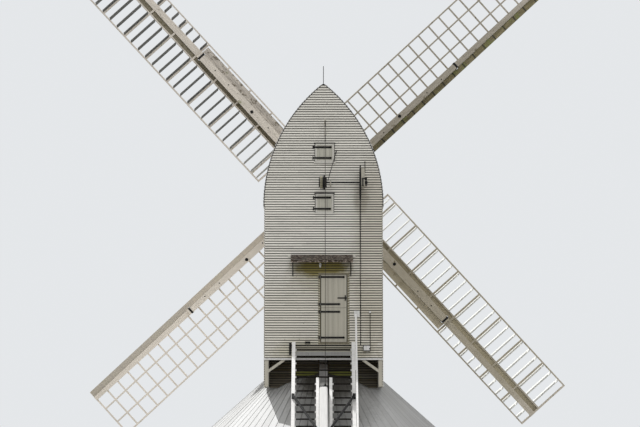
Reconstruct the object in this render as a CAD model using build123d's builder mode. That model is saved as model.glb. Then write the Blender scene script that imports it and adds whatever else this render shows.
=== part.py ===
"""A white weatherboarded post mill that stands on a roundhouse, in millimetres.

The origin is on the axis of the main post at ground level. +Z is up, the tail with its door and ladder
faces -Y, and the sails are on the +Y side, the breast.
"""
import os
from math import acos, atan2, cos, degrees, radians, sin, sqrt, tan

from build123d import *

# Roundhouse
HOUSE_R = 3300
HOUSE_WALL = 230
HOUSE_EAVES_R = 3650
HOUSE_EAVES_Z = 2280
HOUSE_PITCH = 41.5
HOUSE_ROOF = 60
HOUSE_TOP_R = 1400
HOUSE_FLOOR = 60
HOUSE_DOOR_W = 960
HOUSE_DOOR_H = 1980
HOUSE_DOOR_LEAF = 45
HOUSE_DOOR_FRAME = 80

# Trestle and main post
TREE = 300
TREE_LENGTH = 5400
PIER = 520
PIER_H = 1040
BAR = 280
BAR_FOOT = 2300
BAR_PITCH = 51
POST_SQUARE = 720
POST_SQUARE_TOP = 4350
POST_R = 300
POST_OVER_TREES = 40
CROWN_Z = 6350
CROWN_GAP = 6
PINTLE_R = 75
PINTLE_H = 110
RUNNING = 1

# Buck, the body that turns on the post
HALF = 1620
TAIL_Y = -2600
BREAST_Y = 2300
WALL = 110
PLATE_Z = 8790
PEAK_Z = 12200
ROOF = 60
EAVES = 30
VERGE = 10
TAIL_WALL_Z = 4500
SKIRT_Z = 3770
SKIRT_LIFT = 150
SKIRT_BACK = 1050
SKIRT_THICK = 60
BRACE_REACH = 430
BRACE_DROP = 340
BRACE = 70

# Floors and frame of the buck
SPOUT_Z = 4980
STONE_Z = 7350
BIN_Z = 9060
BIN_END_Y = 600
FLOOR = 60
SHEER_W = 250
SHEER_H = 280
SHEER_GAP = 30
FLOOR_HOLE_GAP = 60
CROWN_H = 550
CROWN_W = 550
GIRT_W = 130
GIRT_H = 350

# Windshaft
SHAFT_TILT = 7
SHAFT_TAIL_Z = 9349
SHAFT_R = 230
SHAFT_NOSE_R = 200
NECK_R = 150
NECK_Y = 2050
NECK_LENGTH = 240
TAIL_JOURNAL_R = 60
TAIL_JOURNAL_Y = -2200
TAIL_JOURNAL_LENGTH = 200
HUB_Y = 3150
SHAFT_HOLE_GAP = 130
POLL = 580
POLL_LENGTH = 760
BEAM_W = 300
WEATHER_BEAM_H = 340
TAIL_BEAM_W = 180
TAIL_BEAM_H = 220
BEARING_DROP = 50
BEARING_W = 460

# Sails, in the plane square to the windshaft
SAIL_ANGLE = 42.8
TIP_R = 9490
HEEL_R = 1500
WHIP_HEEL_R = 620
STOCK_R = 5600
STOCK_DEPTH = 260
STOCK_GAP = 80
STOCK_TIP_SHARE = 0.8
WHIP_DEPTH = 150
WHIP_TIP_SHARE = 0.62
WEATHER_HEEL = 18
WEATHER_TIP = 5
STRAP_W = 60
STRAP_T = 12
STRAP_GAP = 6
BOARD_GAP = 1
BOARD_T = 22
LATH_T = 26

# Common sails
COMMON_STOCK_W = 220
COMMON_LEAD = 260
COMMON_UPLONGS = (440, 970)
COMMON_HEM = 1440
COMMON_SPACES = 19
COMMON_BAR_W = 48
COMMON_BAR_T = 34
COMMON_LATH_W = 45

# Spring sails
SPRING_STOCK_W = 273
SPRING_LEAD = 430
SPRING_BOARD = 212
SPRING_INNER = 262
SPRING_HEM = 1310
SPRING_HEEL_BAY = 320
SPRING_BAYS = 8
SPRING_LEAD_BAYS = 4
SPRING_BAR_W = 55
SPRING_BAR_T = 50
SPRING_LATH_W = 40
SHUTTERS_A_BAY = 3
SHUTTER_CHORD = 290
SHUTTER_T = 14
SHUTTER_TILT = 7
SHUTTER_FIRST = 62
SHUTTER_END_GAP = 12
SHUTTER_PIN = 18
SHUTTER_PIN_GAP = 2.5

# Tail door
DOOR_X = -85
DOOR_W = 742
DOOR_H = 1870
DOOR_SPLIT_Z = 5930
DOOR_T = 40
DOOR_GAP = 8
DOOR_FRAME = 60
DOOR_FRAME_OUT = 24
STRAP_HINGE_Z = (6780, 6030, 5820, 5110)
HINGE_STRAP_H = 45
HINGE_STRAP_T = 6
HINGE_STRAP_L = 560
HINGE_EYE_R = 16
HINGE_PIN_R = 8
HINGE_PIN_GAP = 0.6
LATCH_Z = 6200
LATCH_L = 240
LATCH_IN = 20
LATCH_BAR = 16
LATCH_GRIP_H = 70
LATCH_GRIP_W = 24
LATCH_GRIP_OUT = 34

# Hatches
UPPER_HATCH_X = 32
UPPER_HATCH_Z = 9990
UPPER_HATCH_W = 536
UPPER_HATCH_H = 520
LOWER_HATCH_X = 30
LOWER_HATCH_Z = 8560
LOWER_HATCH_W = 506
LOWER_HATCH_H = 540
HATCH_FRAME = 50
HATCH_OUT = 22
HATCH_LEAF = 30
SILL_OUT = 60
SILL_H = 32

# Porch hood
HOOD_X = -45
HOOD_W = 1710
HOOD_Z = 7395
HOOD_OUT = 450
HOOD_PITCH = 23.5
HOOD_T = 50
HOOD_BRACKET_W = 24
HOOD_BRACKET_H = 400
HOOD_BRACKET_IN = 55
HOOD_BRACKET_REACH = 380
HOOD_BRACKET_BAR = 28
HOOD_BRACKET_TOP = 50

# Striking gear on the tail
GEAR_OUT = 500
GEAR_R = 150
GEAR_W = 180
GEAR_SHAFT_R = 24
GEAR_ROD_R = 28
CHAIN_WHEEL_X = 1012
CHAIN_WHEEL_R = 460
CHAIN_WHEEL_RIM = 45
CHAIN_WHEEL_T = 36
CHAIN_WHEEL_SPOKES = 4
GEAR_BOARD_W = 100
GEAR_BOARD_H = 400
CHAIN_R = 12
CHAIN_FOOT_Z = 4880
CHAIN_FOOT_R = 130

# Rope in front of the door and the rod on the ridge
ROPE_X = 47
ROPE_R = 8
ROPE_TOP_Z = 11050
ROPE_TOP_OUT = 600
ROPE_FOOT_Y = -3665
ROPE_ARM = 45
ROPE_EYE_GAP = 1.5
ROD_TOP_Z = 12700
ROD_FOOT_Z = 12150
ROD_R = 9

# Tail pole
POLE_W = 226
POLE_D = 250
POLE_Y = -1350
POLE_Z = 4460
POLE_SLOPE = 20
POLE_INNER_Y = -550
POLE_OUTER_Y = -8800
POLE_NOTCH_GAP = 25

# Ladder
LADDER_SLOPE = 52
LADDER_HALF = 863
STRING_W = 95
STRING_D = 220
LADDER_TOP_Z = 4980
LADDER_Y = -2750
LADDER_LINE_Z = 4860
LADDER_WALL_GAP = 60
LIFT_Y = -2730
LIFT_Z = 4890
LIFT_ROD_R = 20
LIFT_LUG = 70
TREAD_RISE = 192
TREAD_D = 190
TREAD_T = 36
TREAD_TOP_Z = 4780
INNER_LEFT_X = -161
INNER_RIGHT_X = 195
INNER_W = 80
SLOT_TOP_Z = 3976
SLOT_FOOT_Z = 2560
RAIL_H = 750
RAIL = 50
RAIL_TOP_Y = -2800
RAIL_POSTS = 4
STAY_R = 25
STAY_TOP_X = 720
STAY_TOP_Z = 3450
STAY_FOOT_Y = -6300
STAY_FOOT_Z = 2558
STAY_POLE_GAP = 30

# Values worked out from the sizes above
HOUSE_SLOPE = tan(radians(HOUSE_PITCH))
HOUSE_APEX = HOUSE_EAVES_Z + HOUSE_EAVES_R * HOUSE_SLOPE
HOUSE_ROOF_DROP = HOUSE_ROOF / cos(radians(HOUSE_PITCH))
ARCH_H = PEAK_Z - PLATE_Z
ARCH_W = HALF + EAVES
ARCH_SHIFT = (ARCH_H ** 2 - ARCH_W ** 2) / (2 * ARCH_W)
ARCH_R = ARCH_W + ARCH_SHIFT
INSIDE = HALF - WALL
TAIL_IN = TAIL_Y + WALL
BREAST_IN = BREAST_Y - WALL
SHAFT_SLOPE = tan(radians(SHAFT_TILT))
WEATHER_HEEL_T = tan(radians(WEATHER_HEEL))
WEATHER_TIP_T = tan(radians(WEATHER_TIP))
COMMON_STOCK_W0 = (STOCK_DEPTH + STOCK_GAP) / 2
SPRING_STOCK_W0 = -COMMON_STOCK_W0
COMMON_WHIP_W0 = COMMON_STOCK_W0 - (STOCK_DEPTH + WHIP_DEPTH) / 2
SPRING_WHIP_W0 = SPRING_STOCK_W0 - (STOCK_DEPTH + WHIP_DEPTH) / 2
SPRING_BAY = (TIP_R - HEEL_R - SPRING_HEEL_BAY) / SPRING_BAYS
WHIP_END_R = TIP_R + COMMON_BAR_W / 2
STRAP_R = STOCK_R - 2 * STRAP_W
DOOR_HEAD_Z = SPOUT_Z + DOOR_H
LADDER_TAN = tan(radians(LADDER_SLOPE))
POLE_TAN = tan(radians(POLE_SLOPE))


def shaft_z(y):
    """Height of the windshaft's axis at y."""
    return SHAFT_TAIL_Z + (y - TAIL_Y) * SHAFT_SLOPE


def house_roof_z(radius, lift=0):
    """Height of the roundhouse roof's upper face at a radius, raised by lift."""
    return HOUSE_APEX - radius * HOUSE_SLOPE + lift


def arch_point(radius, angle):
    """A point, as x and z, on the right-hand arc of the buck's pointed roof."""
    return (radius * cos(angle) - ARCH_SHIFT, PLATE_Z + radius * sin(angle))


def arch_end(radius):
    """The angle at which an arc of the roof meets the middle of the ridge."""
    return acos(ARCH_SHIFT / radius)


def ladder_z(y, rise=0):
    """Height of the ladder's centre line at y, with a point moved square to it by rise."""
    return LADDER_LINE_Z + (y - LADDER_Y) * LADDER_TAN + rise / cos(radians(LADDER_SLOPE))


def pole_z(y):
    """Height of the tail pole's centre line at y."""
    return POLE_Z + (y - POLE_Y) * POLE_TAN


def write(piece, name):
    """Label a finished piece and write its file."""
    piece.label = name
    export_step(piece, f"parts/{name}.step")


def block(low, high):
    """A square-edged block between two corners, in the part that is being built."""
    size = [b - a for a, b in zip(low, high)]
    centre = [(a + b) / 2 for a, b in zip(low, high)]
    with Locations(tuple(centre)):
        Box(*size)


def cut_block(low, high):
    """Cut a square-edged block between two corners out of the part that is being built."""
    size = [b - a for a, b in zip(low, high)]
    centre = [(a + b) / 2 for a, b in zip(low, high)]
    with Locations(tuple(centre)):
        Box(*size, mode=Mode.SUBTRACT)


def along(start, end, side):
    """A plane at start that looks towards end, with its x direction as near to side as it can be."""
    run = Vector(*end) - Vector(*start)
    ahead = run.normalized()
    across = Vector(*side)
    across = across - ahead * across.dot(ahead)
    return Plane(origin=start, x_dir=across, z_dir=ahead), run.length


def beam(start, end, width, depth, side):
    """A straight timber from start to end, width wide along side."""
    plane, length = along(start, end, side)
    with BuildSketch(plane) as section:
        Rectangle(width, depth)
    extrude(section.sketch, amount=length)


def rod(start, end, radius):
    """A straight round bar from start to end."""
    plane, length = along(start, end, (1, 0.3, 0.2))
    with BuildSketch(plane) as section:
        Circle(radius)
    extrude(section.sketch, amount=length)


def gable_wall(outer_y, inner_y, bottom):
    """A whole end wall between two planes, its top under the roof's inner face."""
    inner = ARCH_R - ROOF
    top = arch_end(inner)
    foot_x, foot_z = arch_point(inner, 0)
    mid_x, mid_z = arch_point(inner, top / 2)
    peak_z = arch_point(inner, top)[1]
    with BuildPart() as wall:
        with BuildSketch(Plane.XZ.offset(-max(outer_y, inner_y))):
            with BuildLine():
                Polyline((-foot_x, foot_z), (-HALF, foot_z), (-HALF, bottom), (HALF, bottom),
                         (HALF, foot_z), (foot_x, foot_z))
                ThreePointArc((foot_x, foot_z), (mid_x, mid_z), (0, peak_z))
                ThreePointArc((0, peak_z), (-mid_x, mid_z), (-foot_x, foot_z))
            make_face()
        extrude(amount=abs(outer_y - inner_y))
    return wall.part


def inside_slab(y_low, y_high, z_low, z_high):
    """A level timber or floor that fills the buck from side to side, trimmed to its walls and roof."""
    with BuildPart() as slab:
        add(gable_wall(y_low, y_high, TAIL_WALL_Z))
        with Locations((0, (y_low + y_high) / 2, (z_low + z_high) / 2)):
            Box(2 * HALF, y_high - y_low, z_high - z_low, mode=Mode.INTERSECT)
    return slab.part


def under_house_roof(lift):
    """Everything below the roundhouse roof raised by lift, to trim what turns above it."""
    reach = HOUSE_EAVES_R
    with BuildPart() as cone:
        with BuildSketch(Plane.XZ):
            Polygon((0, 0), (reach, 0), (reach, house_roof_z(reach, lift)), (0, house_roof_z(0, lift)),
                    align=None)
        revolve(axis=Axis.Z)
    return cone.part


# Roundhouse

def roundhouse_wall():
    with BuildPart() as quarter:
        inner = HOUSE_R - HOUSE_WALL
        with BuildSketch(Plane.XZ):
            Polygon((inner, 0), (HOUSE_R, 0), (HOUSE_R, house_roof_z(HOUSE_R, -HOUSE_ROOF_DROP)),
                    (inner, house_roof_z(inner, -HOUSE_ROOF_DROP)), align=None)
        revolve(axis=Axis.Z, revolution_arc=90)
    for turn, side in enumerate(("right", "front", "left", "tail")):
        piece = quarter.part.rotate(Axis.Z, 90 * turn - 45)
        if side == "right":
            with BuildPart() as pierced:
                add(piece)
                cut_block((inner - HOUSE_WALL * 2, -HOUSE_DOOR_W / 2, HOUSE_FLOOR),
                          (HOUSE_R + HOUSE_WALL, HOUSE_DOOR_W / 2, HOUSE_FLOOR + HOUSE_DOOR_H))
            piece = pierced.part
        write(piece, f"roundhouse_wall_{side}")


def roundhouse_roof():
    with BuildPart() as roof:
        low = HOUSE_EAVES_R
        high = HOUSE_TOP_R
        with BuildSketch(Plane.XZ):
            Polygon((low, house_roof_z(low)), (high, house_roof_z(high)),
                    (high, house_roof_z(high, -HOUSE_ROOF_DROP)),
                    (low, house_roof_z(low, -HOUSE_ROOF_DROP)), align=None)
        revolve(axis=Axis.Z)
    write(roof.part, "roundhouse_roof")


def roundhouse_floor():
    with BuildPart() as floor:
        Cylinder(HOUSE_R - HOUSE_WALL, HOUSE_FLOOR, align=(Align.CENTER, Align.CENTER, Align.MIN))
    write(floor.part, "roundhouse_floor")


def roundhouse_door():
    face = sqrt(HOUSE_R ** 2 - (HOUSE_DOOR_W / 2) ** 2)
    back = face - HOUSE_WALL / 2
    half = HOUSE_DOOR_W / 2
    top = HOUSE_FLOOR + HOUSE_DOOR_H
    with BuildPart() as door:
        block((back, -half, HOUSE_FLOOR), (face, half, top))
        cut_block((back, HOUSE_DOOR_FRAME - half, HOUSE_FLOOR),
                  (face, half - HOUSE_DOOR_FRAME, top - HOUSE_DOOR_FRAME))
        block((back, HOUSE_DOOR_FRAME - half, HOUSE_FLOOR),
              (back + HOUSE_DOOR_LEAF, half - HOUSE_DOOR_FRAME, top - HOUSE_DOOR_FRAME))
    write(door.part, "roundhouse_door")


# Trestle

def piers():
    reach = (TREE_LENGTH - PIER) / 2
    foot = HOUSE_FLOOR
    with BuildPart() as stone:
        for side in (-1, 1):
            x = side * reach
            block((x - PIER / 2, -PIER / 2, foot), (x + PIER / 2, PIER / 2, foot + PIER_H))
            block((-PIER / 2, x - PIER / 2, foot), (PIER / 2, x + PIER / 2, foot + PIER_H + TREE))
    write(stone.part, "piers")


def cross_trees():
    foot = HOUSE_FLOOR + PIER_H
    with BuildPart() as lower:
        block((-TREE_LENGTH / 2, -TREE / 2, foot), (TREE_LENGTH / 2, TREE / 2, foot + TREE))
    write(lower.part, "cross_tree_lower")
    with BuildPart() as upper:
        block((-TREE / 2, -TREE_LENGTH / 2, foot + TREE), (TREE / 2, TREE_LENGTH / 2, foot + 2 * TREE))
    write(upper.part, "cross_tree_upper")


def quarter_bar(foot):
    """One slanting bar from a cross tree up to the face of the post, on the +X side."""
    pitch = radians(BAR_PITCH)
    half = BAR / sin(pitch) / 2
    face = POST_SQUARE / 2
    with BuildPart() as bar:
        with BuildSketch(Plane.XZ.offset(-BAR / 2)):
            Polygon((BAR_FOOT + half, foot), (face, foot + (BAR_FOOT + half - face) * tan(pitch)),
                    (face, foot + (BAR_FOOT - half - face) * tan(pitch)), (BAR_FOOT - half, foot),
                    align=None)
        extrude(amount=BAR)
    return bar.part


def quarter_bars():
    low = quarter_bar(HOUSE_FLOOR + PIER_H + TREE)
    high = quarter_bar(HOUSE_FLOOR + PIER_H + 2 * TREE)
    with BuildPart() as bars:
        for turn in (0, 180):
            add(low.rotate(Axis.Z, turn))
            add(high.rotate(Axis.Z, turn + 90))
    write(bars.part, "quarter_bars")


def main_post():
    foot = HOUSE_FLOOR + PIER_H + 2 * TREE + POST_OVER_TREES
    half = POST_SQUARE / 2
    with BuildPart() as post:
        block((-half, -half, foot), (half, half, POST_SQUARE_TOP))
        chamfer(post.faces().sort_by(Axis.Z)[-1].edges(), length=half - POST_R)
        with BuildSketch(Plane.XY.offset(POST_SQUARE_TOP)):
            Circle(POST_R)
        extrude(amount=CROWN_Z - CROWN_GAP - POST_SQUARE_TOP)
        with BuildSketch(Plane.XY.offset(CROWN_Z - CROWN_GAP)):
            Circle(PINTLE_R)
        extrude(amount=PINTLE_H)
    write(post.part, "main_post")


# Walls and roof of the buck

def tail_wall():
    frame_low = DOOR_X - DOOR_FRAME
    frame_high = DOOR_X + DOOR_W + DOOR_FRAME
    frame_foot = SPOUT_Z - DOOR_FRAME
    frame_top = DOOR_HEAD_Z + DOOR_FRAME
    with BuildPart() as sill:
        block((-HALF, TAIL_Y, TAIL_WALL_Z), (HALF, TAIL_IN, frame_foot))
    write(sill.part, "tail_wall_sill")
    with BuildPart() as left:
        block((-HALF, TAIL_Y, frame_foot), (frame_low, TAIL_IN, frame_top))
    write(left.part, "tail_wall_left")
    with BuildPart() as right:
        block((frame_high, TAIL_Y, frame_foot), (HALF, TAIL_IN, frame_top))
    write(right.part, "tail_wall_right")
    with BuildPart() as gable:
        add(gable_wall(TAIL_Y, TAIL_IN, frame_top))
        for x, z, width, height in hatch_places():
            cut_block((x - width / 2, TAIL_Y - WALL, z), (x + width / 2, TAIL_IN + WALL, z + height))
    write(gable.part, "tail_gable")


def hatch_places():
    """Centre x, foot z, width and height of the two hatch openings."""
    return ((UPPER_HATCH_X, UPPER_HATCH_Z, UPPER_HATCH_W, UPPER_HATCH_H),
            (LOWER_HATCH_X, LOWER_HATCH_Z, LOWER_HATCH_W, LOWER_HATCH_H))


def side_walls():
    cone = under_house_roof(SKIRT_LIFT)
    for side, name in ((-1, "left_wall"), (1, "right_wall")):
        low, high = sorted((side * INSIDE, side * HALF))
        with BuildPart() as wall:
            block((low, TAIL_IN, SKIRT_Z), (high, BREAST_IN, PLATE_Z))
            add(cone, mode=Mode.SUBTRACT)
        write(wall.part, name)


def breast_wall():
    with BuildPart() as wall:
        add(gable_wall(BREAST_Y, BREAST_IN, SKIRT_Z))
        add(under_house_roof(SKIRT_LIFT), mode=Mode.SUBTRACT)
        with BuildSketch(shaft_plane(BREAST_IN - WALL)):
            Circle(SHAFT_NOSE_R + SHAFT_HOLE_GAP)
        extrude(amount=3 * WALL, mode=Mode.SUBTRACT)
    write(wall.part, "breast_wall")


def shaft_plane(y):
    """A plane square to the windshaft where its axis passes y, looking out over the breast."""
    return Plane(origin=(0, y, shaft_z(y)), x_dir=(1, 0, 0),
                 z_dir=(0, cos(radians(SHAFT_TILT)), sin(radians(SHAFT_TILT))))


def roof():
    inner = ARCH_R - ROOF
    length = BREAST_Y - TAIL_Y + 2 * VERGE
    for side, name in ((-1, "roof_left"), (1, "roof_right")):
        with BuildPart() as shell:
            with BuildSketch(Plane.XZ.offset(-BREAST_Y - VERGE)):
                with BuildLine():
                    points = []
                    for radius in (ARCH_R, inner):
                        top = arch_end(radius)
                        for share in (0, 0.5, 1):
                            x, z = arch_point(radius, top * share)
                            points.append((side * x, z))
                    ThreePointArc(points[0], points[1], points[2])
                    Line(points[2], points[5])
                    ThreePointArc(points[5], points[4], points[3])
                    Line(points[3], points[0])
                make_face()
            extrude(amount=length)
        write(shell.part, name)


def tail_skirt():
    back = TAIL_Y + SKIRT_BACK
    notch = POLE_W / 2 + POLE_NOTCH_GAP
    with BuildPart() as skirt:
        block((-INSIDE, back - SKIRT_THICK, SKIRT_Z), (INSIDE, back, SPOUT_Z - FLOOR - SHEER_H))
        add(under_house_roof(SKIRT_LIFT / 2), mode=Mode.SUBTRACT)
        cut_block((-notch, back - 2 * SKIRT_THICK, SKIRT_Z),
                  (notch, back + SKIRT_THICK, pole_z(back) + POLE_D / 2 / cos(radians(POLE_SLOPE))
                   + POLE_NOTCH_GAP))
    write(skirt.part, "tail_skirt")


def corner_posts():
    """The posts under the corners of the tail, each with the brace that steadies it."""
    top = TAIL_WALL_Z
    with BuildPart() as posts:
        for side in (-1, 1):
            start = (side * (INSIDE - BRACE_REACH), TAIL_Y + BRACE / 2, top)
            end = (side * (INSIDE + WALL / 2), TAIL_Y + BRACE / 2, top - BRACE_DROP)
            beam(start, end, BRACE, BRACE, (0, 1, 0))
            low, high = sorted((side * INSIDE, side * HALF))
            block((low, TAIL_Y, SKIRT_Z), (high, TAIL_IN, top))
        cut_block((-HALF, TAIL_Y, top), (HALF, TAIL_IN, top + BRACE))
    write(posts.part, "corner_posts")


# Floors and frame

def floors():
    with BuildPart() as spout:
        block((-INSIDE, TAIL_IN, SPOUT_Z - FLOOR), (INSIDE, BREAST_IN, SPOUT_Z))
        with BuildSketch(Plane.XY.offset(SPOUT_Z)):
            Circle(POST_R + FLOOR_HOLE_GAP)
        extrude(amount=-FLOOR, mode=Mode.SUBTRACT)
    write(spout.part, "spout_floor")
    with BuildPart() as stone:
        block((-INSIDE, TAIL_IN, STONE_Z - FLOOR), (INSIDE, BREAST_IN, STONE_Z))
    write(stone.part, "stone_floor")
    with BuildPart() as bins:
        add(inside_slab(TAIL_IN, BIN_END_Y, BIN_Z - FLOOR, BIN_Z))
    write(bins.part, "bin_floor")


def frame():
    top = SPOUT_Z - FLOOR
    near = POST_R + SHEER_GAP
    with BuildPart() as sheers:
        for side in (-1, 1):
            low, high = sorted((side * near, side * (near + SHEER_W)))
            block((low, TAIL_IN, top - SHEER_H), (high, BREAST_IN, top))
            low, high = sorted((side * (INSIDE - GIRT_W), side * INSIDE))
            block((low, TAIL_IN, CROWN_Z), (high, BREAST_IN, CROWN_Z + GIRT_H))
    write(sheers.part, "sheers_and_girts")
    with BuildPart() as crown:
        block((GIRT_W - INSIDE, -CROWN_W / 2, CROWN_Z), (INSIDE - GIRT_W, CROWN_W / 2, CROWN_Z + CROWN_H))
        with BuildSketch(Plane.XY.offset(CROWN_Z)):
            Circle(PINTLE_R + RUNNING)
        extrude(amount=PINTLE_H + RUNNING, mode=Mode.SUBTRACT)
    write(crown.part, "crown_tree")


def shaft_beams():
    """The weather beam and the tail beam, each with the bearing that carries the windshaft."""
    neck_top = shaft_z(NECK_Y)
    tail_top = shaft_z(TAIL_JOURNAL_Y)
    with BuildPart() as beams:
        seat = neck_top - SHAFT_R - BEARING_DROP
        add(inside_slab(BREAST_IN - BEAM_W, BREAST_IN, seat - WEATHER_BEAM_H, seat))
        block((-BEARING_W / 2, NECK_Y - NECK_LENGTH / 3, seat),
              (BEARING_W / 2, NECK_Y + NECK_LENGTH / 3, neck_top))
        with BuildSketch(shaft_plane(NECK_Y - NECK_LENGTH)):
            Circle(NECK_R + RUNNING)
        extrude(amount=2 * NECK_LENGTH, mode=Mode.SUBTRACT)
        back = TAIL_JOURNAL_Y - TAIL_BEAM_W / 2
        add(inside_slab(back, back + TAIL_BEAM_W, BIN_Z, BIN_Z + TAIL_BEAM_H))
        block((-BEARING_W / 4, TAIL_JOURNAL_Y - TAIL_JOURNAL_LENGTH / 3, BIN_Z + TAIL_BEAM_H),
              (BEARING_W / 4, TAIL_JOURNAL_Y + TAIL_JOURNAL_LENGTH / 3, tail_top))
        with BuildSketch(shaft_plane(TAIL_JOURNAL_Y - TAIL_JOURNAL_LENGTH)):
            Circle(TAIL_JOURNAL_R + RUNNING)
        extrude(amount=2 * TAIL_JOURNAL_LENGTH, mode=Mode.SUBTRACT)
    write(beams.part, "shaft_beams")


def tail_pole():
    side = POLE_D / 2
    with BuildPart() as pole:
        beam((0, POLE_INNER_Y, pole_z(POLE_INNER_Y)), (0, POLE_OUTER_Y, pole_z(POLE_OUTER_Y)),
             POLE_W, 2 * side, (1, 0, 0))
        chamfer(pole.edges().filter_by(Axis.X, reverse=True).group_by(SortBy.LENGTH)[-1], length=POLE_W / 8)
    write(pole.part, "tail_pole")


# Door, hatches and hood

def door_frame():
    low = DOOR_X - DOOR_FRAME
    high = DOOR_X + DOOR_W + DOOR_FRAME
    front = TAIL_Y - DOOR_FRAME_OUT
    with BuildPart() as surround:
        block((low, front, SPOUT_Z - DOOR_FRAME), (high, TAIL_IN, DOOR_HEAD_Z + DOOR_FRAME))
        cut_block((DOOR_X, front, SPOUT_Z), (DOOR_X + DOOR_W, TAIL_IN, DOOR_HEAD_Z))
        for z in STRAP_HINGE_Z:
            x = hinge_x()
            y = hinge_y()
            block((x - HINGE_EYE_R, y, z - HINGE_STRAP_H), (x - HINGE_PIN_R, front, z - HINGE_STRAP_H / 2 - 3))
            block((x - HINGE_PIN_R, y - HINGE_PIN_R, z - HINGE_STRAP_H),
                  (x + HINGE_PIN_R, front, z - HINGE_STRAP_H / 2 - 3))
            with BuildSketch(Plane.XY.offset(z - HINGE_STRAP_H)):
                with Locations((x, y)):
                    Circle(HINGE_PIN_R)
            extrude(amount=HINGE_STRAP_H * 1.5)
    write(surround.part, "door_frame")


def hinge_x():
    """Where the door's hinge pins stand, over the left jamb."""
    return DOOR_X - HINGE_EYE_R + DOOR_GAP


def hinge_y():
    """The hinge pins stand just clear of the door frame's face."""
    return TAIL_Y - DOOR_FRAME_OUT - HINGE_EYE_R - 6


def door_leaf(foot, top, hinges, name, latch=False):
    """One leaf of the stable door, with its strap hinges."""
    low = DOOR_X + DOOR_GAP
    high = DOOR_X + DOOR_W - DOOR_GAP
    face = TAIL_Y - DOOR_FRAME_OUT
    x = hinge_x()
    y = hinge_y()
    with BuildPart() as leaf:
        block((low, face, foot), (high, face + DOOR_T, top))
        for z in hinges:
            block((low, y - HINGE_STRAP_T / 2, z - HINGE_STRAP_H / 2),
                  (x + HINGE_STRAP_L, face, z + HINGE_STRAP_H / 2))
            with BuildSketch(Plane.XY.offset(z - HINGE_STRAP_H / 2)):
                with Locations((x, y)):
                    Circle(HINGE_EYE_R)
                with Locations(((x + low) / 2 + HINGE_EYE_R / 2, y)):
                    Rectangle(low - x + HINGE_EYE_R, HINGE_STRAP_T)
            extrude(amount=HINGE_STRAP_H)
            with BuildSketch(Plane.XY.offset(z - HINGE_STRAP_H)):
                with Locations((x, y)):
                    Circle(HINGE_PIN_R + HINGE_PIN_GAP)
            extrude(amount=HINGE_STRAP_H * 2, mode=Mode.SUBTRACT)
        if latch:
            end = high - LATCH_IN
            block((end - LATCH_L, face - LATCH_BAR, LATCH_Z - LATCH_BAR), (end, face, LATCH_Z + LATCH_BAR))
            block((end - LATCH_GRIP_W - LATCH_BAR, face - LATCH_GRIP_OUT, LATCH_Z - LATCH_GRIP_H),
                  (end - LATCH_BAR, face - LATCH_BAR, LATCH_Z + LATCH_GRIP_H))
    write(leaf.part, name)


def doors():
    upper_hinges = STRAP_HINGE_Z[:2]
    lower_hinges = STRAP_HINGE_Z[2:]
    door_leaf(DOOR_SPLIT_Z + DOOR_GAP / 2, DOOR_HEAD_Z - DOOR_GAP, upper_hinges, "upper_door", latch=True)
    door_leaf(SPOUT_Z + DOOR_GAP, DOOR_SPLIT_Z - DOOR_GAP / 2, lower_hinges, "lower_door")


def hatches():
    for (x, z, width, height), name in zip(hatch_places(), ("upper_hatch", "lower_hatch")):
        front = TAIL_Y - HATCH_OUT
        low = x - width / 2
        high = x + width / 2
        with BuildPart() as hatch:
            block((low, front, z), (high, TAIL_IN, z + height))
            cut_block((low + HATCH_FRAME, front, z + HATCH_FRAME),
                      (high - HATCH_FRAME, TAIL_IN, z + height - HATCH_FRAME))
            block((low + HATCH_FRAME, TAIL_Y, z + HATCH_FRAME),
                  (high - HATCH_FRAME, TAIL_Y + HATCH_LEAF, z + height - HATCH_FRAME))
            block((low - SILL_H, TAIL_Y - SILL_OUT, z - SILL_H), (high + SILL_H, TAIL_Y, z))
            for hinge in (z + 0.22 * height, z + 0.8 * height):
                block((low - HATCH_FRAME, front - HINGE_STRAP_T, hinge - HINGE_STRAP_H / 2),
                      (high - 1.5 * HATCH_FRAME, front, hinge + HINGE_STRAP_H / 2))
        write(hatch.part, name)


def porch_hood():
    drop = HOOD_OUT * tan(radians(HOOD_PITCH))
    low = HOOD_X - HOOD_W / 2
    thick = HOOD_T / cos(radians(HOOD_PITCH))
    front = TAIL_Y - HOOD_OUT
    with BuildPart() as hood:
        with BuildSketch(Plane.YZ.offset(low)):
            Polygon((TAIL_Y, HOOD_Z), (front, HOOD_Z - drop), (front, HOOD_Z - drop - thick),
                    (TAIL_Y, HOOD_Z - thick), align=None)
        extrude(amount=HOOD_W)
    write(hood.part, "porch_hood")
    under = HOOD_Z - thick
    with BuildPart() as brackets:
        for x in (low + HOOD_BRACKET_IN, low + HOOD_W - HOOD_BRACKET_IN):
            with BuildSketch(Plane.YZ.offset(x - HOOD_BRACKET_W / 2)):
                sag = HOOD_BRACKET_REACH * tan(radians(HOOD_PITCH))
                tip = TAIL_Y - HOOD_BRACKET_REACH
                Polygon((TAIL_Y, under), (tip, under - sag), (TAIL_Y, under - sag - HOOD_BRACKET_H), align=None)
                inner = TAIL_Y - HOOD_BRACKET_BAR
                Polygon((inner, under - HOOD_BRACKET_TOP), (tip + 1.5 * HOOD_BRACKET_TOP, under - sag),
                        (inner, under - sag - HOOD_BRACKET_H + 1.25 * HOOD_BRACKET_TOP), align=None,
                        mode=Mode.SUBTRACT)
            extrude(amount=HOOD_BRACKET_W)
    write(brackets.part, "hood_brackets")


# Striking gear, rope and rod

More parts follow.
